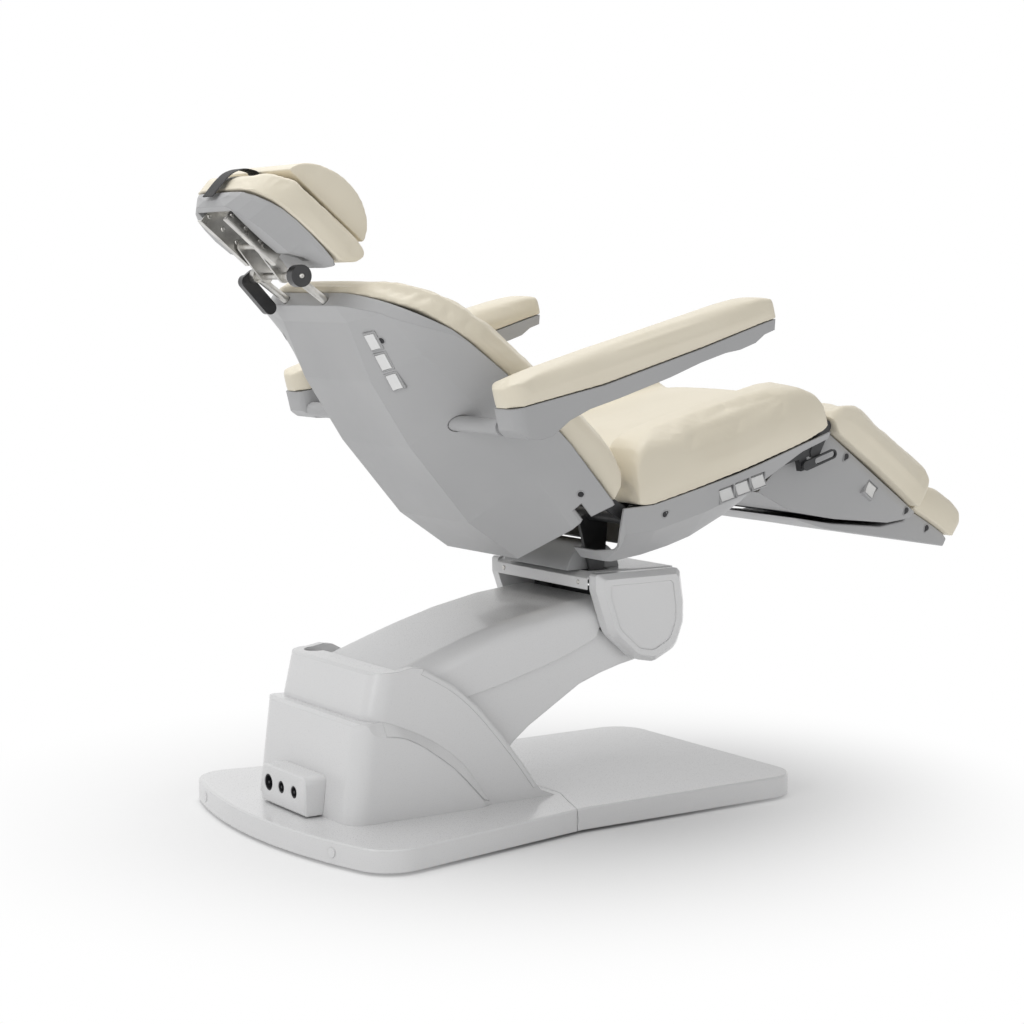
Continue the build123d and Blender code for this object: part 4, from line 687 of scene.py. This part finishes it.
def turned(profile, point, axis, count=ring_count):
    """A profile of (radius, height) rows in millimetres turned about the axis.

    Across the axis a point lies at radius times cosine and radius times sine of the turn.
    """
    rows = np.array(profile, float) * MM
    turn = np.linspace(0, 2 * math.pi, count, endpoint=False)
    out = Vector(axis).normalized()
    side = out.orthogonal().normalized()
    up = out.cross(side)
    ring = np.outer(np.cos(turn), np.array(side)) + np.outer(np.sin(turn), np.array(up))
    places = rows[:, :1, None] * ring[None] + rows[:, 1:, None] * np.array(out)[None, None]
    return places.reshape(-1, 3) + np.array(point)


def set_of_turned(name, profile, seats, finish, body, count=ring_count):
    """Many turned fasteners as one piece: the same profile at every seat."""
    places, faces, start = [], [], 0
    for point, axis in seats:
        made = turned(profile, point, axis, count)
        rows = grid_faces(len(profile), count)
        faces.extend([[index + start for index in face] for face in rows])
        places.append(made)
        start += len(made)
    return new_piece(name, np.vstack(places), faces, finish, body)


pan_head = [(0.4, 0.5), (1.2, 1.0), (1.3, 1.9), (3.6, 1.7), (4.4, 0.9), (4.6, 0.0), (4.6, -0.6)]

# %% [markdown]
# The screws of the headrest sit in a row on each leaning channel.
# So their spots are given along the lean, and rays find how far out the channel's wall is.
# The second row of rays starts in the middle of the chair and meets the far channel.


# %% Screws of the headrest and the lift head
def leaned_seats(node, spots, origin, degrees_down, side, direction):
    """Seats on a solid at (along, height) spots of a leaning frame, met from the plane y = side."""
    found = []
    for along, height in spots:
        start = leaning_to_row(origin, degrees_down, np.float64(along), side, np.float64(height))
        found.append(dropped(node, start, direction))
    return found


rail_spots = [(-165, 22), (-132, 22), (-98, 22)]
outside, inside = -300, 0
rail_seats = []
for side in (outside, inside):
    rail_seats += leaned_seats(
        "headrest_rails", rail_spots, head_origin, head_lean, side, (0, 1, 0))
set_of_turned(
    "rail_screws", pan_head, rail_seats, zinc, body_of_node["headrest_rails"])
knob_seat = [dropped("clamp_hub", (-0.4504, -0.4, 0.9818), (0, 1, 0))]
set_of_turned(
    "knob_screw", pan_head, knob_seat, zinc, body_of_node["clamp_hub"])
lip_seats = [
    dropped("carrier_top_cover", (0.0, y, 0.4238), (1, 0, 0)) for y in (-0.124, 0.124)]
set_of_turned(
    "head_cover_screws", pan_head, lip_seats, zinc,
    body_of_node["carrier_top_cover"])
print("screws:", len(rail_seats) + len(knob_seat) + len(lip_seats))

# %% [markdown]
# The grey shells are screwed on from the side, each screw in a well with a pointed mouth.
# A rim a little proud and a near-black disc inside it, which is painted shade, give the look of the
# well without cutting the solid.
# The mouth is a drop shape: a circle whose radius grows to a point on one side.

# %% Screw wells of the shells
well_rim = [(5.6, 0.15), (6.2, 0.75), (7.2, 0.8), (8.0, 0.3), (8.2, -0.6)]
# Inside each rim a flat near-black disc is painted shade, standing for the depth of the well.
painted_shade_disc = [(0.3, 0.25), (5.2, 0.25), (5.7, 0.1), (5.8, -0.5)]
mouth_start = 0.75
mouth_reach = 0.0045
centre_radius = 0.002
wall_distance = 0.5


def drop_mouth(places, point, toward, reach):
    """Pulls a turned ring into a drop: points near one direction go out by up to reach.

    The pull grows from 0, where the cosine to the direction is mouth_start, to 1 on it.
    """
    away = places - np.array(point)
    length = np.linalg.norm(away, axis=1)
    ahead = np.clip((away @ np.array(toward)) / np.maximum(length, 1e-9), 0, 1)
    pull = np.clip((ahead - mouth_start) / (1 - mouth_start), 0, 1) ** 1.5
    pull = pull * (length > centre_radius)
    return places + np.outer(pull * reach, np.array(toward))


def wells(node, spots, toward):
    """Rims and discs of painted shade at (x, z) spots in metres on both sides of a shell, pointing
    toward.
    """
    # The rims are shell plastic; the second kind is the near-black disc of painted shade.
    kinds = (
        ("rims", well_rim, shell, "shell_satin"),
        ("painted_shade_discs", painted_shade_disc, socket_and_painted_shade, "socket_dark"))
    for suffix, profile, finish, slot in kinds:
        places, faces, start = [], [], 0
        for x, z in spots:
            for sign in (-1, 1):
                point, axis = dropped(node, (x, wall_distance * sign, z), (0, -sign, 0))
                made = drop_mouth(turned(profile, point, axis), point, toward, mouth_reach)
                rows = grid_faces(len(profile), ring_count)
                faces.extend([[index + start for index in face] for face in rows])
                places.append(made)
                start += len(made)
        new_piece(
            node + "_well_" + suffix, np.vstack(places), faces, finish, body_of_node[node])


wells("seat_shell", [(0.192, 0.556)], (0.83, 0.0, 0.55))
wells("back_shell", [(-0.341, 0.873), (0.011, 0.601)], (0.58, 0.0, 0.81))
wells("leg_shell", [(0.655, 0.639), (0.815, 0.526)], (-0.6, 0.0, -0.8))
wells("foot_shell", [(0.893, 0.484)], (-0.6, 0.0, -0.8))
print("screw wells made")

# %% [markdown]
# Two lines give the tower its look: a band that sweeps from the rear ledge down to the skirt,
# and a fine raised rim along the top of each cheek.
# Both are flat ribbons between two curves, laid on the side wall and lifted a little at one edge.


# %% Sweep band and cheek rim of the tower
def wall_y(spots, sign):
    """How far out the tower's side wall is at each (x, z) in metres, found by rays from outside."""
    rays = [((x, wall_distance * sign, z), (0, -sign, 0)) for x, z in spots]
    return np.array([dropped("base_rear_cover", start, aim)[0].y for start, aim in rays])


corners = 4
ribbon_angle = 25


def ribbon(name, upper, lower, upper_proud, lower_proud, count=48):
    """A band between two curves on both sides of the tower: four rows along it, closed round."""
    top, low = smooth_path(upper, count) * MM, smooth_path(lower, count) * MM
    places, faces, start = [], [], 0
    for sign in (-1, 1):
        top_y, low_y = wall_y(top, sign), wall_y(low, sign)
        rows = np.stack([
            np.column_stack([top[:, 0], top_y + sign * upper_proud * MM, top[:, 1]]),
            np.column_stack([low[:, 0], low_y + sign * lower_proud * MM, low[:, 1]]),
            np.column_stack([low[:, 0], low_y - sign * MM, low[:, 1]]),
            np.column_stack([top[:, 0], top_y - sign * MM, top[:, 1]])], axis=1)
        places.append(rows.reshape(-1, 3))
        faces.extend([[index + start for index in face] for face in grid_faces(count, corners)])
        start += count * corners
    return new_piece(
        name, np.vstack(places), faces, cover, body_of_node["base_rear_cover"],
        ribbon_angle)


ribbon(
    "tower_sweep_band",
    upper=[(-340, 219), (-301, 204), (-240, 174), (-178, 127), (-121, 52)],
    lower=[(-340, 195), (-302, 187), (-262, 166), (-200, 120), (-139, 58)],
    upper_proud=0.3, lower_proud=3.0)
ribbon(
    "cheek_rim",
    upper=[(-258, 301), (-198, 266), (-147, 223), (-95, 164), (-54, 112), (-20, 66)],
    lower=[(-262, 293), (-203, 259), (-153, 217), (-101, 159), (-60, 108), (-27, 63)],
    upper_proud=0.4, lower_proud=1.6)
print("tower lines made")


# %% [markdown]
# The floor and the world are plain and pale, as in a studio.
# White comes from the floor's own colour far from the chair, so the lamps can stay soft.
# Near the chair the floor is an ordinary pale surface, which keeps the chair's shadow.

# %% Floor and world
floor_size = 14.0
floor_grey = 0.93
shadow_radius, white_radius = 0.2, 1.15
world_light = 0.38
floor_mesh = bpy.data.meshes.new("studio_floor")
edge = floor_size / 2
floor_mesh.from_pydata(
    [(-edge, -edge, 0), (edge, -edge, 0), (edge, edge, 0), (-edge, edge, 0)], [], [(0, 1, 2, 3)])
floor = bpy.data.objects.new("studio_floor", floor_mesh)
scene.collection.objects.link(floor)
floor_finish = bpy.data.materials.new("studio_floor")
floor_finish.use_nodes = True
tree = floor_finish.node_tree
tree.nodes.clear()
output = tree.nodes.new("ShaderNodeOutputMaterial")
matt = tree.nodes.new("ShaderNodeBsdfDiffuse")
matt.inputs["Color"].default_value = (floor_grey, floor_grey, floor_grey, 1)
bright = tree.nodes.new("ShaderNodeEmission")
bright.inputs["Color"].default_value = (1, 1, 1, 1)
where = tree.nodes.new("ShaderNodeTexCoord")
distance = tree.nodes.new("ShaderNodeVectorMath")
distance.operation = "LENGTH"
fade = tree.nodes.new("ShaderNodeMapRange")
fade.interpolation_type = "SMOOTHSTEP"
fade.inputs["From Min"].default_value = shadow_radius
fade.inputs["From Max"].default_value = white_radius
blend = tree.nodes.new("ShaderNodeMixShader")
tree.links.new(where.outputs["Object"], distance.inputs[0])
tree.links.new(distance.outputs["Value"], fade.inputs["Value"])
tree.links.new(fade.outputs["Result"], blend.inputs["Fac"])
tree.links.new(matt.outputs["BSDF"], blend.inputs[1])
tree.links.new(bright.outputs["Emission"], blend.inputs[2])
tree.links.new(blend.outputs["Shader"], output.inputs["Surface"])
floor_mesh.materials.append(floor_finish)

world = bpy.data.worlds.new("studio")
scene.world = world
world.use_nodes = True
tree = world.node_tree
background = tree.nodes["Background"]
background.inputs["Color"].default_value = (1, 1, 1, 1)
path = tree.nodes.new("ShaderNodeLightPath")
seen = tree.nodes.new("ShaderNodeMath")
seen.operation = "MAXIMUM"
either = tree.nodes.new("ShaderNodeMath")
either.operation = "MAXIMUM"
level = tree.nodes.new("ShaderNodeMapRange")
level.inputs["To Min"].default_value = world_light
level.inputs["To Max"].default_value = 1.0
tree.links.new(path.outputs["Is Camera Ray"], seen.inputs[0])
tree.links.new(path.outputs["Is Glossy Ray"], seen.inputs[1])
tree.links.new(seen.outputs["Value"], either.inputs[0])
tree.links.new(path.outputs["Is Transmission Ray"], either.inputs[1])
tree.links.new(either.outputs["Value"], level.inputs["Value"])
tree.links.new(level.outputs["Result"], background.inputs["Strength"])

# %% [markdown]
# The chair is lit by three large soft lamps.
# The main one hangs high above, one stands behind the head end, and a weak one fills the near side.
# Large lamps were chosen because small ones draw hard shadows that the photograph doesn't have.


# %% Lamps
def lamp(name, place, aim, size, power):
    """A square area lamp at place that shines towards aim, with power in watts."""
    data = bpy.data.lights.new(name, "AREA")
    data.shape = "SQUARE"
    data.size = size
    data.energy = power
    made = bpy.data.objects.new(name, data)
    made.location = place
    made.rotation_mode = "QUATERNION"
    made.rotation_quaternion = (Vector(aim) - Vector(place)).to_track_quat("-Z", "Y")
    scene.collection.objects.link(made)
    return made


lamp("lamp_above", (-0.4, 0.6, 3.4), (0.1, 0, 0.4), 2.6, 64)
lamp("lamp_left", (-3.6, -1.2, 1.8), (0, 0, 0.5), 2.0, 24)
lamp("lamp_near", (0.6, -4.0, 1.6), (0.1, 0, 0.5), 2.0, 9)
scene.view_settings.view_transform = "Standard"
